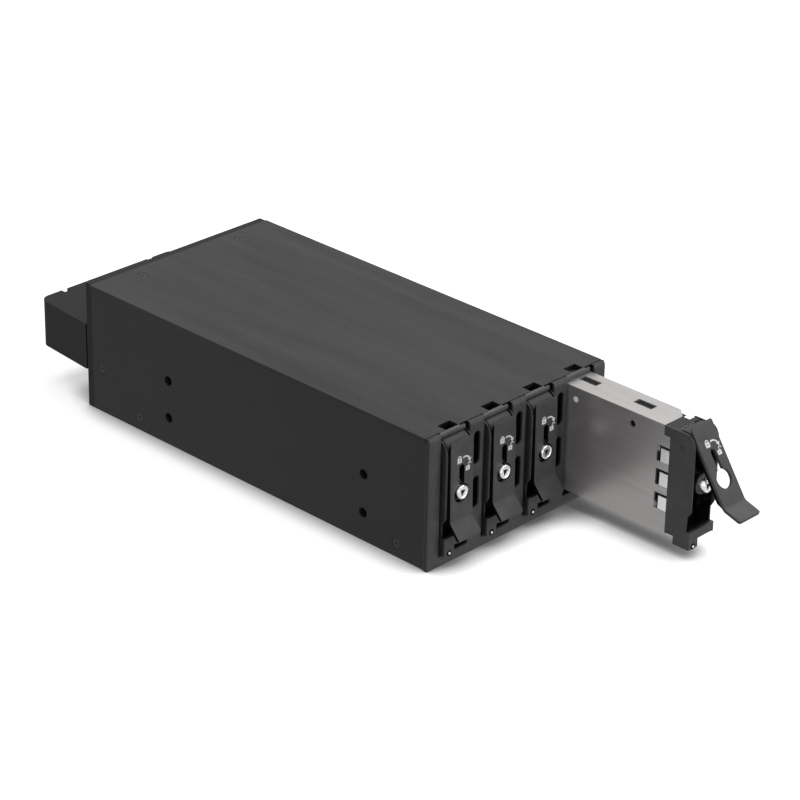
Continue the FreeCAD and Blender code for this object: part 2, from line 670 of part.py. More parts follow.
def rear_panel():
    """Make the rear panel with the air window and the socket windows."""
    windows = [
        (
            "hood_left + window_margin",
            "hood_bottom + hood_wall",
            "hood_left + hood_width - window_margin",
            "hood_top - hood_wall",
        ),
        (
            "power_socket_left",
            "power_socket_bottom",
            "power_socket_left + power_socket_width",
            "power_socket_bottom + power_socket_height",
        ),
    ]
    for index in range(DATA_SOCKETS):
        centre = data_socket_centre(index)
        low = f"{centre} - data_socket_width / 2"
        high = f"{centre} + data_socket_width / 2"
        windows.append((low, "io_board_top", high, "io_board_top + data_socket_height"))
    circles = [(across, up, "screw_radius") for across, up in hood_screw_places()]
    corners = rectangle("0 - end_half", "end_floor", "end_half", "end_roof")
    body = sheet_body("rear_panel", "XZ_Plane", corners, "panel_gauge", False, circles, windows)
    node("rear_panel", move(body, y="rear"))


def tapered_block(wall, length):
    """Make the tapered form of the hood, less a wall on each side."""
    piece = doc.addObject("Part::Wedge", "Taper")
    limits = {
        "Xmin": "hood_left + " + wall,
        "Xmax": "hood_left + hood_width - " + wall,
        "X2min": "hood_end_left + " + wall,
        "X2max": "hood_end_left + hood_end_width - " + wall,
        "Zmin": "hood_bottom + " + wall,
        "Zmax": "hood_top - " + wall,
        "Z2min": "hood_bottom + " + wall,
        "Z2max": "hood_top - " + wall,
        "Ymin": "0",
        "Ymax": length,
    }
    for side, text in limits.items():
        piece.setExpression(side, formula(text))
    return move(piece, y="rear")


def rear_hood():
    """Make the air outlet hood behind the left part of the rear panel."""
    outer = tapered_block("0", "hood_length")
    end_plane = value("hood_end")
    middle_up = value("(hood_bottom + hood_top) / 2")
    outer = round_edges(
        outer,
        "hood_rounding",
        lambda middle: abs(middle.y - end_plane) < 1e-6 and abs(middle.z - middle_up) < 1e-6,
    )
    tools = [tapered_block("hood_wall", "hood_length - hood_wall")]
    for index in range(HOOD_SLOTS):
        centre = f"({index - (HOOD_SLOTS - 1) / 2} * hood_slot_pitch + hood_middle)"
        low = (
            f"{centre} - hood_slot_width / 2",
            "hood_end - 2 * hood_wall",
            "(hood_bottom + hood_top - hood_slot_height) / 2",
        )
        tools.append(block(low, ("hood_slot_width", "3 * hood_wall", "hood_slot_height")))
    for side in ("0 - hood_notch_spacing / 2", "hood_notch_spacing / 2"):
        low = (
            f"{side} + hood_middle - hood_notch_width / 2",
            "hood_end - hood_wall",
            "hood_top - hood_notch_depth",
        )
        tools.append(block(low, ("hood_notch_width", "2 * hood_wall", "2 * hood_notch_depth")))
    shell = cut(outer, tools)
    boss_root = "0.75 * hood_wall"
    bosses = []
    holes = []
    for (across, up), sign in zip(hood_screw_places(), (-1, 1)):
        reach = f"(hood_screw_inset - {boss_root} + hood_boss_size / 2)"
        shift = "hood_boss_size / 2" if sign > 0 else f"({reach} - hood_boss_size / 2)"
        low = (f"{across} - {shift}", "rear", f"({up}) - hood_boss_size / 2")
        bosses.append(block(low, (reach, "hood_boss_length", "hood_boss_size")))
        holes.append(rod("screw_radius", "hood_screw_length", (across, "rear", up), "Y"))
    node("rear_hood", cut(join([shell] + bosses), holes))


def backplane_board():
    """Make the upright board between the bays and the rear compartment."""
    windows = []
    for bay in BAYS[:-1]:
        centre = f"({bay_centre(bay)} + bay_pitch / 2)"
        low = f"{centre} - backplane_slot_width / 2"
        high = f"{centre} + backplane_slot_width / 2"
        windows.append((low, "drive_board_bottom", high, "drive_board_top"))
    corners = rectangle("0 - end_half", "floor_gauge", "end_half", "panel_top")
    role = "XZ_Plane"
    body = sheet_body("backplane_board", role, corners, "board_gauge", False, (), windows)
    node("backplane_board", move(body, y="backplane_rear"))


def bay_connectors():
    """Make the four connectors on the front of the backplane."""
    pieces = []
    for bay in BAYS:
        left = f"{bay_centre(bay)} + board_face - connector_width / 2"
        low = (left, "backplane - connector_depth", "middle_height - connector_height / 2")
        shell = block(low, ("connector_width", "connector_depth", "connector_height"))
        low = (
            f"{left} + socket_wall",
            "backplane - connector_depth",
            "middle_height - connector_height / 2 + socket_wall",
        )
        size = (
            "connector_width - 2 * socket_wall",
            "connector_depth / 2",
            "connector_height - 2 * socket_wall",
        )
        pieces.append(cut(shell, [block(low, size)]))
    node("bay_connectors", group(pieces))


def io_board():
    """Make the level board that carries the data sockets."""
    low = ("0 - io_board_half", "backplane_rear", "io_board_height")
    node("io_board", between(low, ("io_board_half", "panel_front", "io_board_top")))


def data_sockets():
    """Make the row of data sockets above the hood."""
    pieces = []
    start = "rear + socket_proud - data_socket_length"
    for index in range(DATA_SOCKETS):
        left = f"{data_socket_centre(index)} - data_socket_width / 2"
        size = ("data_socket_width", "data_socket_length", "data_socket_height")
        shell = block((left, start, "io_board_top"), size)
        low = (
            f"{left} + socket_wall",
            "rear + socket_proud - socket_mouth_depth",
            "io_board_top + socket_wall",
        )
        size = (
            "data_socket_width - 2 * socket_wall",
            "socket_mouth_depth",
            "data_socket_height - 2 * socket_wall",
        )
        pieces.append(cut(shell, [block(low, size)]))
    node("data_sockets", group(pieces))


def power_socket():
    """Make the power socket beside the hood."""
    low = (
        "power_socket_left",
        "rear + socket_proud - power_socket_length",
        "power_socket_bottom",
    )
    size = ("power_socket_width", "power_socket_length", "power_socket_height")
    tools = []
    for index in range(POWER_PINS):
        shift = index - (POWER_PINS - 1) / 2
        up = f"power_socket_bottom + power_socket_height / 2 + {shift} * power_pin_pitch"
        start = ("power_socket_place", "rear + socket_proud - socket_mouth_depth", up)
        tools.append(rod("power_pin_radius", "socket_mouth_depth", start, "Y"))
    node("power_socket", cut(block(low, size), tools))


def guide(label, half, low_up, high_up, channel_low, channel_high):
    """Make one guide with a channel for each tray."""
    base = between((f"0 - {half}", "spigot_end", low_up), (half, "backplane", high_up))
    channels = []
    for bay in BAYS:
        low = (f"{bay_centre(bay)} - opening_width / 2", "spigot_end", channel_low)
        high = (f"{bay_centre(bay)} + opening_width / 2", "backplane", channel_high)
        channels.append(between(low, high))
    node(label, cut(base, channels))


def blower_centre(index):
    """Give the X place of a blower, counted from the left."""
    step = f"{index} * (blower_size + blower_gap)"
    return f"(blower_side_gap + blower_size / 2 + {step} - end_half)"


def blower_case(label, index):
    """Make the flat case of one blower with its inlet, outlet and axle."""
    centre = blower_centre(index)
    start = "(panel_front - blower_setback - blower_size)"
    middle = f"({start} + blower_size / 2)"
    low = (f"{centre} - blower_size / 2", start, "blower_bottom")
    shell = block(low, ("blower_size", "blower_size", "blower_height"))
    chamber_floor = "blower_bottom + blower_wall"
    chamber_height = "blower_height - 2 * blower_wall"
    chamber_radius = "wheel_radius + wheel_clearance"
    low = (f"{centre} - inlet_radius", middle, chamber_floor)
    size = (f"inlet_radius + {chamber_radius}", "blower_size / 2", chamber_height)
    tools = [
        rod(chamber_radius, chamber_height, (centre, middle, chamber_floor)),
        rod("inlet_radius", "blower_height - blower_wall", (centre, middle, chamber_floor)),
        block(low, size),
    ]
    axle_height = "blower_height - blower_wall - wheel_clearance"
    axle = rod("axle_radius", axle_height, (centre, middle, "blower_bottom"))
    node(label, join([cut(shell, tools), axle]))


def blower_wheel(label, index):
    """Make the wheel of one blower: a disc with a hub and a ring of swept blades."""
    body = doc.addObject("PartDesign::Body", label)
    height = "(blower_height - 2 * blower_wall - 2 * wheel_clearance)"
    disc = new_sketch(body, "XY_Plane", "Disc")
    draw_circle(disc, "0", "0", "wheel_radius")
    pad(body, disc, "wheel_disc_gauge")
    hub = new_sketch(body, "XY_Plane", "Hub")
    draw_circle(hub, "0", "0", "wheel_hub_radius")
    pad(body, hub, height)
    blade = new_sketch(body, "XY_Plane", "Blade")
    tip = "(wheel_radius - blade_gauge)"
    root = "(wheel_radius - blade_length)"
    corners = (
        (root, "0 - blade_gauge / 2"),
        (tip, "blade_sweep - blade_gauge / 2"),
        (tip, "blade_sweep + blade_gauge / 2"),
        (root, "blade_gauge / 2"),
    )
    draw_polygon(blade, corners)
    first_blade = pad(body, blade, height)
    doc.recompute()
    ring = body.newObject("PartDesign::PolarPattern", "Blades")
    ring.Originals = [first_blade]
    ring.Axis = (plane(body, "Z_Axis"), [""])
    ring.Angle = 360
    ring.Occurrences = WHEEL_BLADES
    body.Tip = ring
    doc.recompute()
    bore = new_sketch(body, "XY_Plane", "Bore")
    draw_circle(bore, "0", "0", "axle_radius + axle_clearance")
    pocket_through(body, bore)
    middle = "panel_front - blower_setback - blower_size / 2"
    up = "blower_bottom + blower_wall + wheel_clearance"
    node(label, move(body, blower_centre(index), middle, up))


def blower_posts():
    """Make the posts that carry the blowers above the floor."""
    pieces = []
    rows = (
        ("panel_front - blower_setback - blower_size + post_inset", "floor_gauge"),
        ("panel_front - blower_setback - post_inset", "end_floor"),
    )
    for index in range(len(BLOWERS)):
        for shift in ("post_inset - blower_size / 2", "blower_size / 2 - post_inset"):
            for along, foot in rows:
                start = (f"{blower_centre(index)} + {shift}", along, foot)
                pieces.append(rod("post_radius", f"blower_bottom - {foot}", start))
    node("blower_posts", group(pieces))


def screw(place, axis, sign, length):
    """Make a small screw from the seat of its head, its shank running along an axis."""
    index = "XYZ".index(axis)
    seat = list(place)
    shank_start = list(place)
    head_start = list(place)
    if sign > 0:
        head_start[index] = f"{seat[index]} - screw_head_height"
    else:
        shank_start[index] = f"{seat[index]} - {length}"
    head = rod("screw_head_radius", "screw_head_height", head_start, axis)
    return join([head, rod("screw_radius", length, shank_start, axis)])


def cage_screws():
    """Make the screws of the cover, the sides and the hood."""
    seat = "cage_height - screw_head_height"
    pieces = [screw((*place, seat), "Z", -1, "screw_length") for place in cover_screw_places()]
    node("cover_screws", group(pieces))
    pieces = []
    for across, up in side_screw_places():
        left = "screw_head_height - side_half"
        right = "side_half - screw_head_height"
        pieces.append(screw((left, across, up), "X", 1, "screw_length"))
        pieces.append(screw((right, across, up), "X", -1, "screw_length"))
    node("side_screws", group(pieces))
    length = "hood_screw_length"
    pieces = [screw((x, "panel_front", z), "Y", 1, length) for x, z in hood_screw_places()]
    node("hood_screws", group(pieces))


def tray_chassis(bay):
    """Make the folded steel tray: a wall on the left with a top and a bottom flange."""
    centre = bay_centre(bay)
    hook_end = "bezel_rear + bezel_hook_length"
    wall = between(("tray_left", "bezel_rear", "tray_bottom"), ("tray_wall", "tray_rear", "tray_top"))
    floor = between(
        ("tray_left", "bezel_rear", "tray_bottom"),
        ("tray_right", "tray_rear", "tray_bottom + tray_gauge"),
    )
    top_body = doc.addObject("PartDesign::Body", "TrayTop")
    outline = new_sketch(top_body, "XY_Plane", "Outline")
    corners = (
        ("tray_left", hook_end),
        ("tray_right - tray_chamfer", hook_end),
        ("tray_right", f"{hook_end} + tray_chamfer"),
        ("tray_right", "tray_rear"),
        ("tray_left", "tray_rear"),
    )
    draw_polygon(outline, corners)
    pad(top_body, outline, "tray_gauge")
    move(top_body, z="tray_top - tray_gauge")
    low = ("tray_left", "bezel_rear", "tray_top - bezel_hook_height")
    tools = [between(low, ("tray_wall", hook_end, "tray_top"))]
    for index in range(TRAY_SLOTS):
        middle = f"bezel_rear + tray_slot_first + {index} * tray_slot_pitch"
        low = ("tray_slot_shift - tray_slot_width / 2", f"{middle} - tray_slot_length / 2", "tray_top - tray_gauge")
        tools.append(block(low, ("tray_slot_width", "tray_slot_length", "tray_gauge")))
    tabs = []
    for index in range(TRAY_WINDOWS):
        bottom = f"tray_window_low + {index} * tray_window_pitch"
        size = ("tray_gauge", "tray_window_length", "tray_window_height")
        tools.append(block(("tray_left", "bezel_rear", bottom), size))
        size = ("tray_gauge", "tray_tab_length", "tray_tab_height")
        tabs.append(block(("tray_left + tray_tab_inset", "bezel_rear", bottom), size))
    start = ("tray_left", "bezel_rear + tray_hole_setback", "tray_top - tray_hole_drop")
    tools.append(rod("tray_hole_radius", "tray_gauge", start, "X"))
    folded = join([cut(join([wall, floor, top_body]), tools)] + tabs)
    node(f"tray_{bay}_chassis", move(folded, centre, pull(bay)))


def tray_bezel(bay):
    """Make the moulded front of a tray with its hinge walls, lock sleeve and foot."""
    pieces = []
    grip_back = "bezel_face + bezel_grip_depth"
    outline = (
        ("bezel_face", "bezel_bottom"),
        ("bezel_rear", "bezel_bottom"),
        ("bezel_rear", "tray_top"),
        ("bezel_face + bezel_corner_depth", "tray_top"),
        ("bezel_face", "tray_top - bezel_corner_drop"),
        ("bezel_face", "bezel_grip_top"),
        (grip_back, "bezel_grip_top - bezel_grip_slope"),
        (grip_back, "bezel_bar_top"),
        ("bezel_face", "bezel_bar_top"),
    )
    for start in ("tray_left", "tray_right - bezel_wall"):
        wall = sheet_body("BezelWall", "YZ_Plane", outline, "bezel_wall")
        pieces.append(move(wall, start))
    low = ("tray_left", "web_front", "bezel_bottom")
    pieces.append(between(low, ("tray_right", "bezel_rear", "web_top")))
    hook_end = "(bezel_rear + bezel_hook_length)"
    low = ("tray_left", f"{hook_end} - bezel_roof_length", "tray_top - bezel_roof_gauge")
    pieces.append(between(low, ("tray_right - tray_chamfer", hook_end, "tray_top")))
    low = ("tray_left", "bezel_rear", "tray_top - bezel_hook_height")
    pieces.append(between(low, ("tray_wall", hook_end, "tray_top")))
    low = ("tray_left", "bezel_face", "bezel_bar_top - bezel_bar_height")
    high = ("tray_right", "bezel_face + bezel_bar_depth", "bezel_bar_top")
    pieces.append(between(low, high))
    low = ("0 - light_pipe_offset - bezel_foot_width / 2", "bezel_face", "bezel_foot_bottom")
    foot_height = "bezel_bar_top - bezel_foot_bottom"
    pieces.append(block(low, ("bezel_foot_width", "bezel_foot_depth", foot_height)))
    sleeve_start = "lever_face + lever_gauge + sleeve_gap"
    sleeve_radius = "lock_radius + lock_clearance + lock_sleeve_wall"
    sleeve_length = f"web_front - ({sleeve_start})"
    pieces.append(rod(sleeve_radius, sleeve_length, ("0", sleeve_start, "lock_height"), "Y"))
    pipe_start = ("0 - light_pipe_offset", "bezel_face", "light_pipe_height")
    tools = [
        rod("lock_radius + lock_clearance", "bezel_depth", ("0", "bezel_face", "lock_height"), "Y"),
        rod("light_pipe_radius", "bezel_foot_depth", pipe_start, "Y"),
        rod("hinge_pin_radius", "tray_width", ("tray_left", "hinge_place", "hinge_height"), "X"),
    ]
    node(f"tray_{bay}_bezel", move(cut(join(pieces), tools), bay_centre(bay), pull(bay)))


def tray_lever(bay):
    """Make the latch lever about its hinge, then set it in its tray, open on the fourth."""
    left = "0 - lever_width / 2"
    front_plane = "0 - hinge_setback"
    turn = "lip_angle"
    tip_across = f"{front_plane} - lip_length * sin({turn})"
    tip_up = f"kink_place - lip_length * cos({turn})"
    outline = [
        (front_plane, "kink_place"),
        (tip_across, tip_up),
        (f"{tip_across} + lever_gauge * cos({turn})", f"{tip_up} - lever_gauge * sin({turn})"),
        ("lever_back", f"kink_place - lever_gauge * tan({turn} / 2)"),
        ("lever_back", "lever_top - lever_top_slope"),
        (front_plane, "lever_top"),
    ]
    plate = sheet_body("LeverPlate", "YZ_Plane", outline, "lever_width")
    move(plate, left)
    rims = []
    for start in (left, "lever_width / 2 - lever_rim_width"):
        size = ("lever_rim_width", "lever_rim_depth", "lever_rim_top - kink_place")
        rims.append(block((start, front_plane, "kink_place"), size))
    eye = rod("hinge_eye_radius", "lever_width", (left, "0", "0"), "X")
    low = (left, "lever_back", "0 - lever_arm_height / 2")
    arm = between(low, ("lever_width / 2", "0", "lever_arm_height / 2"))
    keyhole_place = "(lock_height - keyhole_drop - hinge_height)"
    start = front_plane
    slot_top = "(0 - keyhole_top_drop - keyhole_slot / 2)"
    low = ("0 - keyhole_slot / 2", start, keyhole_place)
    tools = [
        rod("keyhole_radius", "lever_gauge", ("0", start, keyhole_place), "Y"),
        block(low, ("keyhole_slot", "lever_gauge", f"{slot_top} - {keyhole_place}")),
        rod("keyhole_slot / 2", "lever_gauge", ("0", start, slot_top), "Y"),
        rod("hinge_pin_radius + hinge_clearance", "lever_width", (left, "0", "0"), "X"),
    ]
    lever = cut(join([plate, eye, arm] + rims), tools)
    if bay == OPEN_BAY:
        lever.Placement.Rotation.Axis = FreeCAD.Vector(-1, 0, 0)
        lever.setExpression("Placement.Rotation.Angle", formula("lever_open"))
    place = (bay_centre(bay), f"hinge_place + {pull(bay)}", "hinge_height")
    node(f"tray_{bay}_lever", move(lever, *place))


def tray_small_parts(bay):
    """Make the hinge pin, the lock and the light pipe of a tray."""
    centre = bay_centre(bay)
    shift = pull(bay)
    start = (f"{centre} + tray_left", f"hinge_place + {shift}", "hinge_height")
    node(f"tray_{bay}_hinge_pin", rod("hinge_pin_radius", "tray_width", start, "X"))
    cylinder = rod("lock_radius", "lock_end - lock_face", ("0", "lock_face", "lock_height"), "Y")
    low = ("0 - lock_cam_width / 2", "lock_end", "lock_height - lock_cam_length")
    size = ("lock_cam_width", "lock_cam_gauge", "lock_cam_length + lock_cam_width / 2")
    key_low = ("0 - key_slot_width / 2", "lock_face", "lock_height - key_slot_height / 2")
    key_slot = block(key_low, ("key_slot_width", "key_slot_depth", "key_slot_height"))
    lock = cut(join([cylinder, block(low, size)]), [key_slot])
    node(f"tray_{bay}_lock", move(lock, centre, shift))
    start = (
        f"{centre} - light_pipe_offset",
        f"bezel_face - light_pipe_proud + {shift}",
        "light_pipe_height",
    )
    node(f"tray_{bay}_light_pipe", rod("light_pipe_radius", "light_pipe_length", start, "Y"))


def drive_screw_places():
    """List the Y and Z places of the screws that hold the board in a tray."""
    low = "drive_board_bottom + drive_screw_inset"
    high = "drive_board_top - drive_screw_inset"
    front_end = "board_front + drive_screw_inset"
    rear_end = "rear_screw_place"
    return ((front_end, low), (front_end, high), (rear_end, low), (rear_end, high))


def tray_board(bay):
    """Make the board in a tray with its drive socket, rear plug and screws."""
    centre = bay_centre(bay)
    shift = pull(bay)
    low = ("board_left", "board_front", "drive_board_bottom")
    high = ("board_face", "plug_end", "drive_board_top")
    places = drive_screw_places()
    holes = [rod("drive_screw_radius", "board_gauge", ("board_left", *place), "X") for place in places]
    node(f"tray_{bay}_board", move(cut(between(low, high), holes), centre, shift))
    start = "(tray_rear - drive_socket_setback - drive_socket_length)"
    low = ("board_face", start, "middle_height - drive_socket_height / 2")
    shell = block(low, ("drive_socket_depth", "drive_socket_length", "drive_socket_height"))
    low = (
        "board_face + drive_socket_depth / 3",
        start,
        "middle_height - drive_socket_height / 2 + socket_wall",
    )
    size = ("drive_socket_depth / 3", "drive_socket_length / 2", "drive_socket_height - 2 * socket_wall")
    socket = cut(shell, [block(low, size)])
    low = ("board_face", "plug_start", "middle_height - plug_height / 2")
    plug = block(low, ("plug_width", "plug_end - plug_start", "plug_height"))
    pieces = group([socket, plug])
    node(f"tray_{bay}_sockets", move(pieces, centre, shift))
    pieces = []
    for place in drive_screw_places():
        pieces.append(
            join(
                [
                    rod("drive_screw_head_radius", "drive_board_standoff", ("tray_wall", *place), "X"),
                    rod("drive_screw_radius", "board_gauge", ("board_left", *place), "X"),
                    rod("drive_screw_head_radius", "drive_screw_head_height", ("board_face", *place), "X"),
                ]
            )
        )
    node(f"tray_{bay}_screws", move(group(pieces), centre, shift))


def build_cage():
    """Make every sub-part of the box."""
    side_panel("left_side_panel", "0 - side_half", False)
    side_panel("right_side_panel", "side_half", True)
    top_cover()
    bottom_plate()
    front_frame()
    rear_frame()
    rear_panel()
    rear_hood()
    backplane_board()
    bay_connectors()
    io_board()
    data_sockets()
    power_socket()
    rib_top = "guide_floor + guide_rib"
    rib_foot = "guide_roof - guide_rib"
    guide("lower_guide", "floor_half", "floor_gauge", rib_top, "guide_floor", rib_top)
    guide("upper_guide", "inner_half", rib_foot, "panel_top", rib_foot, "guide_roof")
    for index, name in enumerate(BLOWERS):
        blower_case(f"{name}_blower_case", index)
        blower_wheel(f"{name}_blower_wheel", index)
    blower_posts()
    cage_screws()


def build_trays():
    """Make the four trays."""
    for bay in BAYS:
        tray_chassis(bay)
        tray_bezel(bay)
        tray_lever(bay)
        tray_small_parts(bay)
        tray_board(bay)


def check_and_write():
    """Check every object, then write each sub-part to its own file."""
    doc.recompute()
    for piece in doc.Objects:
        if "Invalid" in piece.State or "Error" in piece.State:
            raise RuntimeError(f"{piece.Name} ({piece.Label}) failed: {piece.State}")
    if len(nodes) > MAX_NODES:
        raise RuntimeError(f"{len(nodes)} sub-parts are too many")
    for piece in nodes:
        if len(piece.Label) >= MAX_NAME_LENGTH:
            raise RuntimeError(f"{piece.Label} is too long a name")
        if piece.Shape.isNull() or not piece.Shape.isValid() or not piece.Shape.Solids:
            raise RuntimeError(f"{piece.Label} has no valid solid")
    os.makedirs("parts", exist_ok=True)
    for piece in nodes:
        piece.Shape.exportStep(os.path.join("parts", piece.Label + ".step"))
        volume = piece.Shape.Volume
        print(f"{piece.Label}: {len(piece.Shape.Solids)} solids, {volume:.1f} cubic mm")


build_cage()
build_trays()
check_and_write()
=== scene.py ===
"""Dressed scene of a hot swap drive cage: finishes, small detail, studio light and camera.

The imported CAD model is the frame. Lengths are millimetres unless a docstring says otherwise, and the
pieces are scaled to metres as they are kept. Trays are made as if they were in and in the middle.
"""
from __future__ import annotations

import json
import logging
import math
from collections.abc import Callable, Iterable, Sequence
from dataclasses import dataclass
from enum import Enum
from functools import cache

import bmesh
import bpy
from mathutils import Matrix, Vector

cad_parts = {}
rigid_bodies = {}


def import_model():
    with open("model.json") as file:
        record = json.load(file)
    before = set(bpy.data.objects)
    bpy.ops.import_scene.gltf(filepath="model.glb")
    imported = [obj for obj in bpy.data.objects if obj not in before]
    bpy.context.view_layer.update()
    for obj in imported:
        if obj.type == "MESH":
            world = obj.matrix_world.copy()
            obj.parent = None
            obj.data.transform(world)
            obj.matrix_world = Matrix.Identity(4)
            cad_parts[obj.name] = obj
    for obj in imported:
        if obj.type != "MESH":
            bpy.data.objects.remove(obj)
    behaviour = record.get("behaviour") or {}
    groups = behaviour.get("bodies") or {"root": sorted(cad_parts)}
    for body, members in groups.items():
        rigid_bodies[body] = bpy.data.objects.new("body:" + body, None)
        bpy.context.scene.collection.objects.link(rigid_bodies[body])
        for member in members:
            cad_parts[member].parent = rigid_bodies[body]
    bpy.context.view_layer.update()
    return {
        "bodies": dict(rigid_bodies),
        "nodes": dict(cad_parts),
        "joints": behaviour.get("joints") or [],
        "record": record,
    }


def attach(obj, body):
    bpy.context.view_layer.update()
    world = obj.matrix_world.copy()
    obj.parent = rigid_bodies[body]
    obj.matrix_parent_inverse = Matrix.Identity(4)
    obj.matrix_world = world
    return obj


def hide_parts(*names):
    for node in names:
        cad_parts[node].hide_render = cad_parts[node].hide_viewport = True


LOG = logging.getLogger("scene")

MM = 0.001
BAYS = (1, 2, 3, 4)
OPEN_BAY = 4
BAY_PITCH = 16.8
TRAY_OUT = 43.3
BEZEL_FACE = -72.7
FRAME_FACE = -71.05
CAGE_FRONT = -69.3
WHITE = (1.0, 1.0, 1.0, 1.0)

Point = tuple[float, float, float]
Flat = tuple[float, float]
Colour = tuple[float, float, float]
Piece = bpy.types.Object
Socket = bpy.types.NodeSocket


def bay_centre(bay: int) -> float:
    """Give the X place of the middle of a bay."""
    return (bay - 2.5) * BAY_PITCH


def tray_out(bay: int) -> float:
    """Give how far a tray is pulled out at rest."""
    return TRAY_OUT if bay == OPEN_BAY else 0.0


def grey(level: float, tint: float = 0.0) -> Colour:
    """Make a near-neutral colour, a positive tint leaning to blue."""
    return (level * (1.0 - tint), level, level * (1.0 + tint))


def scaled(colour: Colour, factor: float) -> Colour:
    """Brighten or darken a colour."""
    return (colour[0] * factor, colour[1] * factor, colour[2] * factor)


def even(value: float) -> Point:
    """Give a texture scale or a grey of three equal values."""
    return (value, value, value)


class Axis(Enum):
    """Row axes that a flat outline can be raised along."""

    X = 0
    Y = 1
    Z = 2


class Graph:
    """Shader node tree under construction."""

    def __init__(self, owner: bpy.types.Material | bpy.types.World, output: str) -> None:
        """Start an empty tree.

        Args:
            owner: the material or world that the tree belongs to.
            output: Blender's name for the type of its output node.
        """
        owner.use_nodes = True
        self.tree = owner.node_tree
        self.tree.nodes.clear()
        self.output = self.add(output)

    def add(self, kind: str, **values: object) -> bpy.types.Node:
        """Add a node and set its properties and the default values of its inputs.

        Args:
            kind: Blender's name for the node type.
            values: property or input names, with spaces written as underscores.

        Returns:
            The new node.
        """
        node = self.tree.nodes.new(kind)
        for key, value in values.items():
            if hasattr(node, key):
                setattr(node, key, value)
            else:
                node.inputs[key.replace("_", " ")].default_value = value
        return node

    def link(self, source: Socket, target: Socket) -> None:
        """Link an output to an input."""
        self.tree.links.new(source, target)

    def finish(self, shader: Socket) -> None:
        """Lead a shader to the output."""
        self.link(shader, self.output.inputs["Surface"])

    def math(self, operation: str, first: Socket, second: Socket | float) -> Socket:
        """Combine a value with another value or a number.

        Args:
            operation: Blender's name for the operation.
            first: the value.
            second: the other value, or a number.

        Returns:
            The result.
        """
        node = self.add("ShaderNodeMath", operation=operation)
        self.link(first, node.inputs[0])
        if isinstance(second, Socket):
            self.link(second, node.inputs[1])
        else:
            node.inputs[1].default_value = second
        return node.outputs[0]

    def mix(self, factor: Socket, first: Socket, second: Socket) -> Socket:
        """Mix two shaders.

        Args:
            factor: share of the second one.
            first: the shader at 0.
            second: the shader at 1.

        Returns:
            The mixed shader.
        """
        node = self.add("ShaderNodeMixShader")
        for source, target in zip((factor, first, second), node.inputs):
            self.link(source, target)
        return node.outputs[0]

    def remap(self, value: Socket, source: Flat, target: Flat) -> Socket:
        """Turn one range of values into another.

        Args:
            value: the value.
            source: start and end of its range.
            target: what they become.

        Returns:
            The new value.
        """
        ends = {"From_Min": source[0], "From_Max": source[1], "To_Min": target[0], "To_Max": target[1]}
        node = self.add("ShaderNodeMapRange", **ends)
        self.link(value, node.inputs["Value"])
        return node.outputs["Result"]


class Surface(Graph):
    """Material under construction, with one main shader."""

    def __init__(self, name: str) -> None:
        """Start a material.

        Args:
            name: name of the material.
        """
        self.material = bpy.data.materials.new(name)
        super().__init__(self.material, "ShaderNodeOutputMaterial")
        self.shader = self.add("ShaderNodeBsdfPrincipled")
        self.finish(self.shader.outputs["BSDF"])

    def set(self, **values: object) -> None:
        """Set inputs of the main shader, with spaces written as underscores."""
        for key, value in values.items():
            self.shader.inputs[key.replace("_", " ")].default_value = value

    def coordinates(self, scale: Point) -> Socket:
        """Multiply object coordinates by a scale.

        Args:
            scale: the scale along each axis.

        Returns:
            The coordinates.
        """
        source = self.add("ShaderNodeTexCoord")
        mapping = self.add("ShaderNodeMapping", Scale=scale)
        self.link(source.outputs["Object"], mapping.inputs["Vector"])
        return mapping.outputs["Vector"]

    def noise(self, scale: Point, detail: float = 2.0, roughness: float = 0.5) -> Socket:
        """Add a noise texture.

        Args:
            scale: its scale along each axis.
            detail: number of octaves.
            roughness: weight of the fine octaves.

        Returns:
            Its value.
        """
        texture = self.add("ShaderNodeTexNoise", Scale=1.0, Detail=detail, Roughness=roughness)
        self.link(self.coordinates(scale), texture.inputs["Vector"])
        return texture.outputs["Fac"]

    def paint(self, value: Socket, stops: Sequence[tuple[float, Colour]]) -> None:
        """Colour the surface by a ramp.

        Args:
            value: what the ramp reads.
            stops: places on the ramp and their colours.
        """
        node = self.add("ShaderNodeValToRGB")
        elements = node.color_ramp.elements
        while len(elements) < len(stops):
            elements.new(0.5)
        for element, (position, colour) in zip(elements, stops):
            element.position = position
            element.color = (*colour, 1.0)
        self.link(value, node.inputs["Fac"])
        self.link(node.outputs["Color"], self.shader.inputs["Base Color"])

    def vary(self, value: Socket, colour: Colour, factors: Flat, spread: float = 0.2) -> None:
        """Colour the surface between a darker and a brighter shade, over a spread about 0.5."""
        low, high = (scaled(colour, factor) for factor in factors)
        self.paint(value, ((0.5 - spread, low), (0.5 + spread, high)))

    def roughen(self, value: Socket, mean: float, spread: float) -> None:
        """Vary the roughness of the surface about a mean."""
        varied = self.remap(value, (0.3, 0.7), (mean - spread, mean + spread))
        self.link(varied, self.shader.inputs["Roughness"])

    def bump(self, value: Socket, depth: float) -> None:
        """Raise the surface by a texture.

        Args:
            value: the texture.
            depth: its depth.
        """
        node = self.add("ShaderNodeBump", Strength=1.0, Distance=depth * MM)
        self.link(value, node.inputs["Height"])
        self.link(node.outputs["Normal"], self.shader.inputs["Normal"])


@dataclass(frozen=True)
class Finish:
    """Finish of one kind of surface."""

    name: str

    @cache
    def material(self) -> bpy.types.Material:
        """Build the material, once.

        Returns:
            The material.
        """
        surface = Surface(self.name)
        self.fill(surface)
        return surface.material

    def fill(self, surface: Surface) -> None:
        """Add the nodes of this kind of surface."""
        raise NotImplementedError


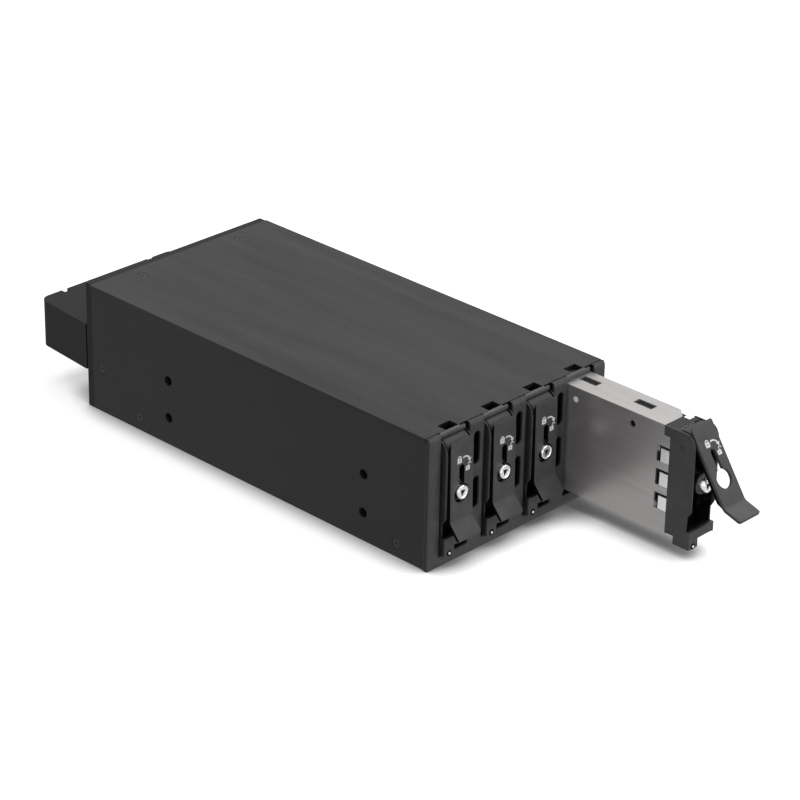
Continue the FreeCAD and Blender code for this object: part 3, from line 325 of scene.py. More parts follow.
@dataclass(frozen=True)
class BrushedMetal(Finish):
    """Metal with fine and broad streaks along Y."""

    colour: Colour
    roughness: float
    streak: float
    metallic: float

    def fill(self, surface: Surface) -> None:
        """Mix both kinds of streaks.

        Args:
            surface: the material under construction.
        """
        fine = surface.noise((900.0, 9.0, 900.0), 5.0, 0.7)
        broad = surface.noise((150.0, 14.0, 150.0), 3.0, 0.6)
        mean = surface.math("MULTIPLY", surface.math("ADD", fine, broad), 0.5)
        surface.vary(mean, self.colour, (1.0 - self.streak, 1.0 + self.streak), 0.14)
        surface.roughen(fine, self.roughness, 0.06)
        surface.bump(fine, 0.008)
        surface.set(Metallic=self.metallic)


@dataclass(frozen=True)
class SmoothPaint(Finish):
    """Thin even paint with a faint orange peel."""

    colour: Colour
    roughness: float

    def fill(self, surface: Surface) -> None:
        """Cloud the colour and lay the peel.

        Args:
            surface: the material under construction.
        """
        surface.vary(surface.noise(even(60.0), 3.0), self.colour, (0.94, 1.06), 0.15)
        peel = surface.noise(even(2200.0))
        surface.roughen(peel, self.roughness, 0.04)
        surface.bump(peel, 0.006)
        surface.set(Specular_IOR_Level=0.25)


@dataclass(frozen=True)
class MouldedPlastic(Finish):
    """Moulded plastic with a fine spark-eroded grain."""

    colour: Colour
    roughness: float
    gloss: float = 0.22

    def fill(self, surface: Surface) -> None:
        """Mottle the colour and lay the grain.

        Args:
            surface: the material under construction.
        """
        surface.vary(surface.noise(even(240.0), 3.0), self.colour, (0.88, 1.12))
        grain = surface.noise(even(3400.0), 3.0, 0.7)
        surface.roughen(grain, self.roughness, 0.07)
        surface.bump(grain, 0.012)
        surface.set(Specular_IOR_Level=self.gloss)


@dataclass(frozen=True)
class PaintedShadePlastic(MouldedPlastic):
    """Moulded plastic with painted shade that falls to black in the recess behind a face.

    Attributes:
        face: Y of the face that the recess opens from.
        depth: how far behind that face the painted shade is complete.
        centre: X of the middle of a tray whose outer sides keep a painted shade level of their own, or None.
        outer: that level.
    """

    face: float = 0.0
    depth: float = 1.0
    centre: float | None = None
    outer: float = 1.0

    def fill(self, surface: Surface) -> None:
        """Paint shade on the plastic by its depth behind the face.

        Args:
            surface: the material under construction.
        """
        super().fill(surface)
        base = surface.shader.inputs["Base Color"]
        source = surface.add("ShaderNodeTexCoord")
        parts = surface.add("ShaderNodeSeparateXYZ")
        surface.link(source.outputs["Object"], parts.inputs["Vector"])
        # painted shade: the colour falls from full to 6% between 0.2 mm and the given depth behind the face
        span = ((self.face + 0.2) * MM, (self.face + self.depth) * MM)
        level = surface.remap(parts.outputs["Y"], span, (1.0, 0.06))
        # the outer sides of a tray keep at least the outer level of painted shade
        if self.centre is not None:
            away = surface.math("SUBTRACT", parts.outputs["X"], self.centre * MM)
            outside = surface.math("GREATER_THAN", surface.math("ABSOLUTE", away, 0.0), 4.95 * MM)
            level = surface.math("MAXIMUM", level, surface.math("MULTIPLY", outside, self.outer))
        mixed = surface.add("ShaderNodeMix", data_type="RGBA", blend_type="MULTIPLY")
        mixed.inputs["Factor"].default_value = 1.0
        surface.link(base.links[0].from_socket, mixed.inputs[6])
        surface.link(level, mixed.inputs[7])
        surface.link(mixed.outputs[2], base)


@dataclass(frozen=True)
class ZincSheet(Finish):
    """Plain zinc plated sheet, rolled along its length, with faint cloudy spangle."""

    colour: Colour

    def fill(self, surface: Surface) -> None:
        """Roll the colour and cloud the gloss.

        Args:
            surface: the material under construction.
        """
        surface.vary(surface.noise((700.0, 30.0, 700.0), 3.0), self.colour, (0.93, 1.05))
        surface.roughen(surface.noise((60.0, 45.0, 60.0), 1.0, 0.4), 0.31, 0.03)
        surface.set(Metallic=0.6)


@dataclass(frozen=True)
class TurnedMetal(Finish):
    """Bright turned or plated metal with fine tool marks."""

    colour: Colour
    roughness: float

    def fill(self, surface: Surface) -> None:
        """Lay the tool marks.

        Args:
            surface: the material under construction.
        """
        marks = surface.noise(even(1800.0), 4.0)
        surface.vary(marks, self.colour, (0.9, 1.0))
        surface.roughen(marks, self.roughness, self.roughness * 0.2)
        surface.set(Metallic=1.0)


@dataclass(frozen=True)
class CircuitBoard(Finish):
    """Green solder mask over a fine pattern of tracks."""

    def fill(self, surface: Surface) -> None:
        """Lay the tracks under a clear coat.

        Args:
            surface: the material under construction.
        """
        cells = surface.add("ShaderNodeTexVoronoi", distance="MANHATTAN", feature="F1", Scale=1.0)
        surface.link(surface.coordinates(even(420.0)), cells.inputs["Vector"])
        tracks = cells.outputs["Distance"]
        stops = ((0.35, (0.006, 0.06, 0.03)), (0.5, (0.014, 0.11, 0.055)), (0.9, (0.008, 0.075, 0.036)))
        surface.paint(tracks, stops)
        surface.bump(tracks, 0.02)
        surface.set(Roughness=0.32, Coat_Weight=0.4, Coat_Roughness=0.2)


@dataclass(frozen=True)
class WhitePrint(Finish):
    """Slightly uneven white ink of a pad print."""

    def fill(self, surface: Surface) -> None:
        """Lay the ink.

        Args:
            surface: the material under construction.
        """
        stops = ((0.3, (0.62, 0.62, 0.61)), (0.7, (0.84, 0.84, 0.83)))
        surface.paint(surface.noise(even(1500.0), 3.0), stops)
        surface.set(Roughness=0.6)


@dataclass(frozen=True)
class LightLens(Finish):
    """Clear tip of a light pipe, with a painted glow for the light that its core catches."""

    def fill(self, surface: Surface) -> None:
        """Lay the core and its painted glow.

        Args:
            surface: the material under construction.
        """
        stops = ((0.3, (0.75, 0.78, 0.8)), (0.7, (0.95, 0.96, 0.97)))
        surface.paint(surface.noise(even(900.0), 1.0), stops)
        surface.set(Roughness=0.15, Coat_Weight=0.5)
        # painted glow: the tip emits a little light for the light that its core catches
        surface.set(Emission_Color=(0.9, 0.95, 1.0, 1.0), Emission_Strength=0.25)


def bezel_finish(bay: int) -> PaintedShadePlastic:
    """Choose the black plastic of a bezel, with painted shade inside it and on its outer sides in the gap of
    a closed bay.

    Args:
        bay: number of the bay.

    Returns:
        The finish.
    """
    # painted shade on the outer sides of a closed bay's bezel: they go no darker than 0.4 of their colour
    outer = 1.0 if bay == OPEN_BAY else 0.4
    face = BEZEL_FACE - tray_out(bay)
    return PaintedShadePlastic(f"bezel_plastic_{bay}", grey(0.064), 0.42, 0.22, face, 1.2, bay_centre(bay), outer)


COVER = BrushedMetal("brushed_cover", grey(0.018), 0.44, 0.6, 0.75)
SIDE = SmoothPaint("side_paint", grey(0.0145), 0.55)
# frame plastic with painted shade, black inside the slots and bay openings from 0.2 mm to 0.9 mm behind the
# face
FRAME = PaintedShadePlastic("frame_plastic", grey(0.062), 0.42, face=FRAME_FACE, depth=0.9)
END = MouldedPlastic("end_plastic", grey(0.006), 0.65)
GUIDE = MouldedPlastic("guide_plastic", grey(0.018, 0.01), 0.5)
LEVER = MouldedPlastic("lever_plastic", grey(0.062), 0.46)
STEEL = ZincSheet("tray_steel", (0.42, 0.405, 0.4))
BOARD = CircuitBoard("circuit_board")
CONNECTOR = MouldedPlastic("connector_plastic", grey(0.012), 0.4)
WHEEL = MouldedPlastic("wheel_plastic", grey(0.03), 0.45)
DARK_SCREW = TurnedMetal("dark_screw", grey(0.05), 0.3)
DRIVE_SCREW = TurnedMetal("drive_screw", grey(0.5), 0.35)
PIN = TurnedMetal("pin_steel", grey(0.06), 0.4)
LOCK = TurnedMetal("lock_chrome", grey(0.92, 0.005), 0.22)
LENS = LightLens("light_pipe")
INK = WhitePrint("white_ink")
# near-black plastic with almost no gloss: painted shade on the lever's ribs, hinge eye and, in a closed bay,
# its sides; the bosses and the light pipe's collar take it too
BLACK_AND_SHADE = MouldedPlastic("black_and_shade_plastic", grey(0.004), 0.9, 0.03)
# lighter copy of the frame plastic: painted light on the bars over the bays
LIT_BAR = MouldedPlastic("frame_bar_lit_plastic", grey(0.085), 0.4)
GLIDE = MouldedPlastic("glide_nylon", grey(0.95), 0.5)
# near-black sheet and plastic of painted shade: the lining inside the tray and the bezel's floor
SHADE_SHEET = MouldedPlastic("insulating_film", grey(0.01), 0.6)
# bright copy of the tray steel: painted highlight on the bent tabs
LIT_TAB_STEEL = TurnedMetal("lit_tab_steel", grey(0.85), 0.4)
# black of painted shade in holes: the key slot and the screws' cross recesses
HOLE_SHADE = MouldedPlastic("hole_shade_black", grey(0.008), 0.6)
# darker copy of the lever plastic: painted shade on the crown behind the plate's top
SHADED_CROWN = MouldedPlastic("lever_crown_shaded_plastic", grey(0.035), 0.5)


def soften(piece: Piece, width: float) -> None:
    """Round the sharp edges of a piece with a modifier.

    Args:
        piece: the piece.
        width: width of the rounding.
    """
    modifier = piece.modifiers.new("Rounding", "BEVEL")
    modifier.width = width * MM
    modifier.segments = 2
    modifier.limit_method = "ANGLE"
    modifier.angle_limit = math.radians(32.0)
    modifier.use_clamp_overlap = True
    modifier.harden_normals = False


@dataclass(frozen=True)
class Dress:
    """Finish and rounding of some CAD nodes of the frame."""

    finish: Finish
    names: tuple[str, ...]
    rounding: float = 0.0

    def put_on(self, nodes: dict[str, Piece], prefix: str = "") -> None:
        """Dress the nodes and round their edges.

        Args:
            nodes: all CAD nodes.
            prefix: what stands before each name.
        """
        for name in self.names:
            piece = nodes[prefix + name]
            piece.data.materials.clear()
            piece.data.materials.append(self.finish.material())
            if self.rounding:
                soften(piece, self.rounding)


CAGE_DRESS = (
    Dress(COVER, ("top_cover",), 0.3),
    Dress(SIDE, ("left_side_panel", "right_side_panel"), 0.15),
    Dress(SIDE, ("bottom_plate", "rear_panel")),
    Dress(FRAME, ("front_frame",)),
    Dress(END, ("rear_frame",), 0.3),
    Dress(END, ("rear_hood",), 0.35),
    Dress(BOARD, ("backplane_board", "io_board")),
    Dress(CONNECTOR, ("bay_connectors", "data_sockets", "power_socket")),
    Dress(GUIDE, ("lower_guide", "upper_guide", "left_blower_case", "right_blower_case", "blower_posts")),
    Dress(WHEEL, ("left_blower_wheel", "right_blower_wheel")),
    Dress(DARK_SCREW, ("cover_screws", "side_screws", "hood_screws")),
)
TRAY_DRESS = (
    Dress(STEEL, ("chassis",), 0.12),
    Dress(LEVER, ("lever",)),
    Dress(PIN, ("hinge_pin",)),
    Dress(LOCK, ("lock",)),
    Dress(LENS, ("light_pipe",)),
    Dress(BOARD, ("board",)),
    Dress(CONNECTOR, ("sockets",)),
    Dress(DRIVE_SCREW, ("screws",)),
)


def dress_nodes(nodes: dict[str, Piece]) -> None:
    """Dress every CAD node of the frame.

    Args:
        nodes: the CAD nodes.
    """
    for dress in CAGE_DRESS:
        dress.put_on(nodes)
    for bay in BAYS:
        for dress in (*TRAY_DRESS, Dress(bezel_finish(bay), ("bezel",), 0.15)):
            dress.put_on(nodes, f"tray_{bay}_")


def raised(corner: Flat, axis: Axis, level: float) -> Point:
    """Give a flat corner its place along the axis that it is raised along."""
    return (*corner[: axis.value], level, *corner[axis.value :])


class Shape:
    """Mesh under construction. Each method that changes it returns it."""

    def __init__(self) -> None:
        """Start an empty mesh."""
        self.mesh = bmesh.new()

    def transform(self, matrix: Matrix) -> Shape:
        """Move or turn everything made so far."""
        bmesh.ops.transform(self.mesh, matrix=matrix, verts=self.mesh.verts)
        return self

    def copy_to(self, name: str) -> bpy.types.Mesh:
        """Write the shape to a new mesh of Blender's, and free it.

        Args:
            name: name of the new mesh.

        Returns:
            The new mesh.
        """
        data = bpy.data.meshes.new(name)
        self.mesh.to_mesh(data)
        self.mesh.free()
        return data

    def take(self, data: bpy.types.Mesh) -> Shape:
        """Take over a mesh of Blender's, which is removed.

        Args:
            data: the mesh.

        Returns:
            This shape.
        """
        self.mesh.from_mesh(data)
        bpy.data.meshes.remove(data)
        return self

    def add(self, other: Shape) -> Shape:
        """Take over the mesh of another shape."""
        return self.take(other.copy_to("part"))

    def clean(self, distance: float) -> Shape:
        """Merge the corners that lie closer than a distance and turn all faces outwards.

        Args:
            distance: the distance.

        Returns:
            This shape.
        """
        bmesh.ops.remove_doubles(self.mesh, verts=self.mesh.verts, dist=distance)
        bmesh.ops.recalc_face_normals(self.mesh, faces=self.mesh.faces)
        return self

    def tube(self, rings: Sequence[Sequence[Point]]) -> Shape:
        """Join rings of corners by faces and close both ends.

        Args:
            rings: the rings, each with the same number of corners.

        Returns:
            This shape.
        """
        made = [[self.mesh.verts.new(corner) for corner in ring] for ring in rings]
        for low, high in zip(made, made[1:]):
            for index in range(len(low)):
                after = (index + 1) % len(low)
                self.mesh.faces.new((low[index], low[after], high[after], high[index]))
        self.mesh.faces.new(made[0])
        self.mesh.faces.new(made[-1])
        bmesh.ops.recalc_face_normals(self.mesh, faces=self.mesh.faces)
        return self

    def prism(self, outline: Sequence[Flat], axis: Axis, low: float, high: float) -> Shape:
        """Raise a flat outline, given in the order of the other two axes, along an axis."""
        return self.tube([[raised(corner, axis, level) for corner in outline] for level in (low, high)])

    def drum(self, profile: Sequence[Flat], centre: Point, axis: Axis, steps: int = 48) -> Shape:
        """Turn a profile about an axis.

        Args:
            profile: pairs of radius and place along the axis.
            centre: a point of the axis.
            axis: direction of the axis.
            steps: number of faces round the axis.

        Returns:
            This shape.
        """
        angles = [2.0 * math.pi * step / steps for step in range(steps)]
        rings = []
        for radius, along in profile:
            circle = [(radius * math.cos(angle), radius * math.sin(angle)) for angle in angles]
            rings.append([Vector(raised(point, axis, along)) + Vector(centre) for point in circle])
        return self.tube(rings).clean(1e-5)

    def sheet(self, loops: Sequence[Sequence[Flat]], gauge: float, rounding: float = 0.0) -> Shape:
        """Make a flat plate with holes, in the XY plane and half above it.

        Args:
            loops: the outline and the holes.
            gauge: thickness.
            rounding: radius of the edges.

        Returns:
            This shape.
        """
        curve = bpy.data.curves.new("plate", "CURVE")
        curve.dimensions = "2D"
        curve.fill_mode = "BOTH"
        curve.extrude = gauge / 2.0 - rounding
        curve.bevel_depth = rounding
        curve.bevel_resolution = 1
        curve.offset = -rounding
        for loop in loops:
            spline = curve.splines.new("POLY")
            spline.points.add(len(loop) - 1)
            for point, (across, up) in zip(spline.points, loop):
                point.co = (across, up, 0.0, 1.0)
            spline.use_cyclic_u = True
        carrier = bpy.data.objects.new("plate", curve)
        self.take(bpy.data.meshes.new_from_object(carrier))
        bpy.data.objects.remove(carrier)
        bpy.data.curves.remove(curve)
        return self.clean(1e-4)

    def slice(self, direction: Point, places: Iterable[float]) -> Shape:
        """Cut the faces at several planes, so that the shape can be bent there.

        Args:
            direction: direction that the planes face.
            places: where they lie along it.

        Returns:
            This shape.
        """
        for place in places:
            everything = list(self.mesh.verts) + list(self.mesh.edges) + list(self.mesh.faces)
            point = Vector(direction) * place
            bmesh.ops.bisect_plane(self.mesh, geom=everything, dist=1e-5, plane_co=point, plane_no=direction)
        return self

    def bend(self, rule: Callable[[Vector], Vector]) -> Shape:
        """Move every corner by a rule.

        Args:
            rule: gives the new place of a corner.

        Returns:
            This shape.
        """
        for vertex in self.mesh.verts:
            vertex.co = rule(vertex.co)
        return self


def rectangle(low_x: float, low_y: float, high_x: float, high_y: float) -> list[Flat]:
    """List the corners of an upright rectangle."""
    return [(low_x, low_y), (high_x, low_y), (high_x, high_y), (low_x, high_y)]


def arc(centre: Flat, radius: float, start: float, end: float, steps: int) -> list[Flat]:
    """List points of an arc, its angles in degrees."""
    angles = [math.radians(start + (end - start) * step / steps) for step in range(steps + 1)]
    return [(centre[0] + radius * math.cos(turn), centre[1] + radius * math.sin(turn)) for turn in angles]


def slot_loop(centre: float, bottom: float, top: float, half: float) -> list[Flat]:
    """List the points of an upright slot with round ends."""
    lower = arc((centre, bottom + half), half, 180.0, 360.0, 10)
    return lower + arc((centre, top - half), half, 0.0, 180.0, 10)


def share_of(value: float, start: float, end: float) -> float:
    """Say how far a value has gone from a start to an end, between 0 and 1."""
    return min(max((value - start) / (end - start), 0.0), 1.0)


@dataclass(frozen=True)
class Assembly:
    """Sub-assembly of the cage or of one of its trays."""

    bay: int = 0
    body: str = "cage"
    own_slot: str = ""

    def place(self) -> Matrix:
        """Give the move from the origin that the assembly is made about to its place at rest."""
        return Matrix.Translation((bay_centre(self.bay), -tray_out(self.bay), 0.0)) if self.bay else Matrix()

    def keep(
        self, part: str, shape: Shape, finish: Finish, rounding: float = 0.0, slot: str = ""
    ) -> Piece:
        """Turn a shape into a piece of the model, in its place.

        Args:
            part: what the piece is, for its name.
            shape: its mesh.
            finish: its finish.
            rounding: radius that its sharp edges are rounded to.
            slot: not used (meant as the material slot that it takes its finish from, if not the assembly's
                own).

        Returns:
            The new object.
        """
        body = self.body.format(bay=self.bay)
        name = f"{body}_{part}" if self.bay else part
        data = shape.transform(self.place()).transform(Matrix.Scale(MM, 4)).copy_to(name)
        data.shade_smooth()
        data.set_sharp_from_angle(angle=math.radians(35.0))
        data.materials.append(finish.material())
        piece = bpy.data.objects.new(name, data)
        bpy.context.scene.collection.objects.link(piece)
        if rounding:
            soften(piece, rounding)
        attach(piece, body)
        return piece

    def build(self) -> list[Piece]:
        """Build the pieces of the assembly."""
        raise NotImplementedError


@dataclass(frozen=True)
class FrontFrame(Assembly):
    """Moulded front of the cage: rounded stiles, and a lowered bar over every bay."""

    own_slot: str = "frame_plastic"
    half: float = 35.3
    height: float = 39.9
    opening: float = 11.2
    opening_bottom: float = 3.1
    opening_top: float = 38.3
    vent_half: float = 1.2
    vent_rows: tuple[Flat, ...] = ((13.2, 22.6), (26.4, 36.3))
    edge: float = 0.42
    spigot_half: float = 33.7
    spigot_bottom: float = 1.2
    spigot_top: float = 38.7
    spigot_depth: float = 4.0
    strips: tuple[Flat, ...] = ((-5.6, -2.4), (2.4, 5.6))
    shoulder_start: float = 38.5
    shoulder_back: float = -69.6
    shoulder_depth: float = 0.55
    bar: Flat = (-5.3, 4.75)
    rib: Flat = (-4.9, 2.9)

    def loops(self, top: float, half: float, bottom: float) -> list[list[Flat]]:
        """List the outline, open at the top of each bay, and the air slots.

        Args:
            top: height of the top.
            half: half of the width.
            bottom: height of the underside.

        Returns:
            The outline and the slots.
        """
        outline = [(-half, 0.0), (half, 0.0), (half, top)]
        for bay in reversed(BAYS):
            high = bay_centre(bay) + self.opening / 2.0
            low = bay_centre(bay) - self.opening / 2.0
            outline += [(high, top), (high, self.opening_bottom), (low, self.opening_bottom), (low, top)]
        outline.append((-half, top))
        loops = [[(across, max(up, bottom)) for across, up in outline]]
        for bay in BAYS[:-1]:
            centre = bay_centre(bay) + BAY_PITCH / 2.0
            loops += [slot_loop(centre, low, high, self.vent_half) for low, high in self.vent_rows]
        return loops

    def round_shoulder(self, corner: Vector) -> Vector:
        """Lean the upper end of the face back, so that the stiles have round shoulders.

        Args:
            corner: a corner of the face.

        Returns:
            Its new place.
        """
        rise = share_of(corner.z, self.shoulder_start, self.height)
        share = share_of(corner.y, self.shoulder_back, FRAME_FACE)
        return Vector((corner.x, corner.y + self.shoulder_depth * share * rise * rise, corner.z))

    def upright(self, loops: Sequence[Sequence[Flat]], front: float, gauge: float, edge: float) -> Shape:
        """Make a plate that stands upright behind a given Y."""
        turn = Matrix.Translation((0.0, front + gauge / 2.0, 0.0)) @ Matrix.Rotation(math.pi / 2.0, 4, "X")
        return Shape().sheet(loops, gauge, edge).transform(turn)

    def face(self) -> Shape:
        """Build the face, its spigot and the strips over the bays.

        Returns:
            The shape.
        """
        loops = self.loops(self.height, self.half, 0.0)
        face = self.upright(loops, FRAME_FACE, CAGE_FRONT - FRAME_FACE, self.edge)
        face.slice((0.0, 0.0, 1.0), (38.6, 38.95, 39.25)).bend(self.round_shoulder)
        loops = self.loops(self.spigot_top, self.spigot_half, self.spigot_bottom)
        face.add(self.upright(loops, CAGE_FRONT, self.spigot_depth, 0.05))
        spigot_end = CAGE_FRONT + self.spigot_depth
        strip = rectangle(CAGE_FRONT - 0.2, self.opening_top, spigot_end, self.spigot_top)
        for bay in BAYS:
            for low, high in self.strips:
                face.add(Shape().prism(strip, Axis.X, bay_centre(bay) + low, bay_centre(bay) + high))
        return face

    def bar_over(self, bay: int) -> Shape:
        """Build the bar over a bay, with the rib along its top.

        Args:
            bay: number of the bay.

        Returns:
            The shape.
        """
        centre = bay_centre(bay)
        front = [(-69.9, 38.15), (-70.0, 38.3), (-70.0, 39.1), (-69.9, 39.36)]
        section = front[1:] + [(-69.35, 39.4), (CAGE_FRONT, 38.15), front[0]]
        rib = [(-70.0, 38.95), (-69.95, 39.3), (-69.35, 39.85), (-69.35, 39.2)]
        shape = Shape().prism(section, Axis.X, centre + self.bar[0], centre + self.bar[1])
        return shape.prism(rib, Axis.X, centre + self.rib[0], centre + self.rib[1])

    def build(self) -> list[Piece]:
        """Build the face, which replaces the CAD frame, and the bars.

        Returns:
            The pieces.
        """
        frame = self.keep("front_frame_face", self.face(), FRAME)
        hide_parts("front_frame")
        return [frame] + [self.keep(f"frame_bar_{bay}", self.bar_over(bay), LIT_BAR, 0.12) for bay in BAYS]


@dataclass(frozen=True)
class Pictograms:
    """Shut padlock, arrow and open padlock of a lever, drawn flat about its hinge."""

    ink: float = 0.05
    shut: Flat = (-1.0, -1.8)
    shut_size: float = 1.7
    lifted: Flat = (2.2, -4.9)
    lifted_size: float = 1.55
    bow: Flat = (1.1, -3.05)

    def padlock(self, middle: Flat, size: float, lifted: bool) -> Shape:
        """Draw a small padlock, its shackle shut or lifted and turned aside.

        Args:
            middle: middle of its body.
            size: width of its body.
            lifted: whether the shackle stands open.

        Returns:
            The flat pictogram.
        """
        x, y = middle
        tall = size * 0.42
        body = rectangle(x - size / 2.0, y - tall, x + size / 2.0, y + tall)
        shape = Shape().sheet([body, arc(middle, size * 0.13, 0.0, 360.0, 12)[:-1]], self.ink)
        outer = size * 0.40
        inner = size * 0.23
        base = y + tall
        x += size * 0.45 if lifted else 0.0
        rise = size * 0.22 if lifted else 0.0
        bow = (x, base + rise + 0.05)
        ring = arc(bow, outer, 0.0, 180.0, 12) + arc(bow, inner, 180.0, 0.0, 12)
        shape.add(Shape().sheet([ring], self.ink))
        for low, high in ((-outer, -inner), (inner, outer))[: 1 if lifted else 2]:
            leg = rectangle(x + low, base - 0.02, x + high, base + rise + 0.06)
            shape.add(Shape().sheet([leg], self.ink))
        return shape

    def arrow(self) -> Shape:
        """Draw the bent arrow from the shut padlock to the open one.

        Returns:
            The flat pictogram.
        """
        band = arc(self.bow, 2.15, 112.0, 22.0, 14) + arc(self.bow, 1.7, 22.0, 112.0, 14)
        start, end = arc(self.bow, 1.92, 24.0, -4.0, 1)
        head = [(start[0] - 0.7, start[1]), (start[0] + 0.7, start[1] + 0.15), end]
        return Shape().sheet([band], self.ink).add(Shape().sheet([head], self.ink))

    def draw(self) -> Shape:
        """Draw all three."""
        shape = self.padlock(self.shut, self.shut_size, False)
        return shape.add(self.padlock(self.lifted, self.lifted_size, True)).add(self.arrow())


@dataclass(frozen=True)
class LatchLever(Assembly):
    """Latch lever of a tray, made about its hinge as if it were closed: X across, Z up."""

    body: str = "tray_{bay}_lever"
    own_slot: str = "lever_plastic"
    hinge_y: float = -68.4
    hinge_z: float = 33.4
    swing: float = 33.0
    half: float = 4.4
    gauge: float = 1.0
    top: float = 4.55
    crown_back: float = 2.6
    kink: float = -19.3
    lip_angle: float = 40.0
    lip_length: float = 5.65
    lip_softness: float = 0.6
    front: float = -5.35
    lean: float = 0.45
    corner: float = 0.7
    round_half: float = 2.8
    round_height: float = -11.7
    slot_half: float = 0.95
    slot_top: float = -3.2
    crown_radius: float = 4.72
    eye_radius: float = 1.7

    def place(self) -> Matrix:
        """Give the move from the hinge of a closed lever to its place and swing at rest.

        Returns:
            The move.
        """
        angle = math.radians(self.swing) if self.bay == OPEN_BAY else 0.0
        hinge = Matrix.Translation((0.0, self.hinge_y, self.hinge_z))
        return super().place() @ hinge @ Matrix.Rotation(-angle, 4, "X")

    def face_at(self, up: float) -> float:
        """Give the depth of the plate's face, which leans back a little towards its top."""
        return self.front + self.lean * (up - self.kink) / (4.5 - self.kink)

    def follow(self, flat: Vector) -> Vector:
        """Bend a flat plate: its lip turns outwards, and its top slants down to the back.

        Args:
            flat: a point of the flat plate, X across, Y up the lever and Z out of its front.

        Returns:
            The point about the hinge.
        """
        soft = self.lip_softness
        reach = self.kink - flat.y
        if reach <= -soft:
            share = max(-flat.z / self.gauge, 0.0)
            up = flat.y - max(flat.y - self.crown_back, 0.0) * share
            return Vector((flat.x, self.face_at(up) - flat.z, up))
        full_turn = math.radians(self.lip_angle)
        turn = full_turn * share_of(reach, -soft, soft)
        radius = 2.0 * soft / full_turn
        start = self.kink + soft
        beyond = max(reach - soft, 0.0)
        bent_y = self.face_at(start) - radius * (1.0 - math.cos(turn)) - beyond * math.sin(turn)
        bent_up = start - radius * math.sin(turn) - beyond * math.cos(turn)
        return Vector((flat.x, bent_y - flat.z * math.cos(turn), bent_up + flat.z * math.sin(turn)))

    def loops(self) -> list[list[Flat]]:
        """List the outline and the keyhole of the plate.

        Returns:
            Both loops.
        """
        right = self.half - self.corner
        low = self.kink - self.lip_length + self.corner
        high = self.top - self.corner
        outline = []
        for index, centre in enumerate(((right, low), (right, high), (-right, high), (-right, low))):
            outline += arc(centre, self.corner, 90.0 * index - 90.0, 90.0 * index, 4)
        mouth = math.degrees(math.asin(self.slot_half / self.round_half))
        hole = arc((0.0, self.round_height), self.round_half, 90.0 + mouth, 450.0 - mouth, 32)
        hole += arc((0.0, self.slot_top - self.slot_half), self.slot_half, 0.0, 180.0, 10)
        return [outline, hole]

    def ribs(self) -> Shape:
        """Build the two ribs behind the plate.

        Returns:
            The shape.
        """
        section = ((-4.25, 2.2), (-3.8, 1.6), (-3.3, -0.4), (-3.3, -17.2), (-4.4, -19.0))
        ribs = Shape()
        for start in (-self.half + 0.02, self.half - 0.72):
            ribs.prism(section, Axis.X, start, start + 0.7)
        return ribs

    def eye(self) -> Shape:
        """Build the hinge eye and the arm that joins it to the plate.

        Returns:
            The shape.
        """
        ends = (-self.half, self.half)
        profile = [(0.0, ends[0]), (self.eye_radius, ends[0]), (self.eye_radius, ends[1]), (0.0, ends[1])]
        eye = Shape().drum(profile, (0.0, 0.0, 0.0), Axis.X, 32)
        return eye.prism(rectangle(-4.3, -0.9, 0.0, 0.9), Axis.X, ends[0] + 0.2, ends[1] - 0.2)

    def plate(self) -> Shape:
        """Build the plate with its finger lip.

        Returns:
            The shape.
        """
        plate = Shape().sheet(self.loops(), self.gauge, 0.14)
        bends = [self.kink + offset for offset in (0.6, 0.4, 0.2, 0.0, -0.2, -0.4, -0.6)]
        plate.slice((0.0, 1.0, 0.0), bends + [self.crown_back])
        return plate.transform(Matrix.Translation((0.0, 0.0, -self.gauge / 2.0))).bend(self.follow)

    def crown(self) -> Shape:
        """Build the rounded crown that closes the top of the lever behind its plate.

        Returns:
            The shape.
        """
        turns = [math.radians(value) for value in (47, 36, 24, 12, 0, -12, -24, -34)]
        bow = [(-math.sin(turn) * self.crown_radius, math.cos(turn) * self.crown_radius) for turn in turns]
        section = [(-4.0, 1.2), (-3.75, 2.6), *bow, (1.9, 1.6), (1.2, 0.4), (-0.5, 0.4)]
        return Shape().prism(section, Axis.X, -4.3, 4.3)

    def build(self) -> list[Piece]:
        """Build the lever, whose sides get painted shade in the gap of a closed bay, and its print.

        Returns:
            The pieces.
        """
        # the ribs and the hinge eye take the near-black plastic of painted shade
        ribs = self.keep("ribs", self.ribs(), BLACK_AND_SHADE, 0.1)
        eye = self.keep("eye", self.eye(), BLACK_AND_SHADE)
        plate = self.keep("plate", self.plate(), LEVER)
        # in a closed bay the plate's sides take the near-black plastic as painted shade in the gap
        if self.bay != OPEN_BAY:
            plate.data.materials.append(BLACK_AND_SHADE.material())
            for polygon in plate.data.polygons:
                polygon.material_index = int(abs(polygon.normal.x) > 0.6)
        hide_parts(f"tray_{self.bay}_lever")
        # the crown's darker plastic is painted shade
        crown = self.keep("latch", self.crown(), SHADED_CROWN, 0.18)
        ink = Pictograms().draw().transform(Matrix.Translation((0.0, 0.0, 0.02)))
        return [ribs, eye, plate, crown, self.keep("print", ink.bend(self.follow), INK)]


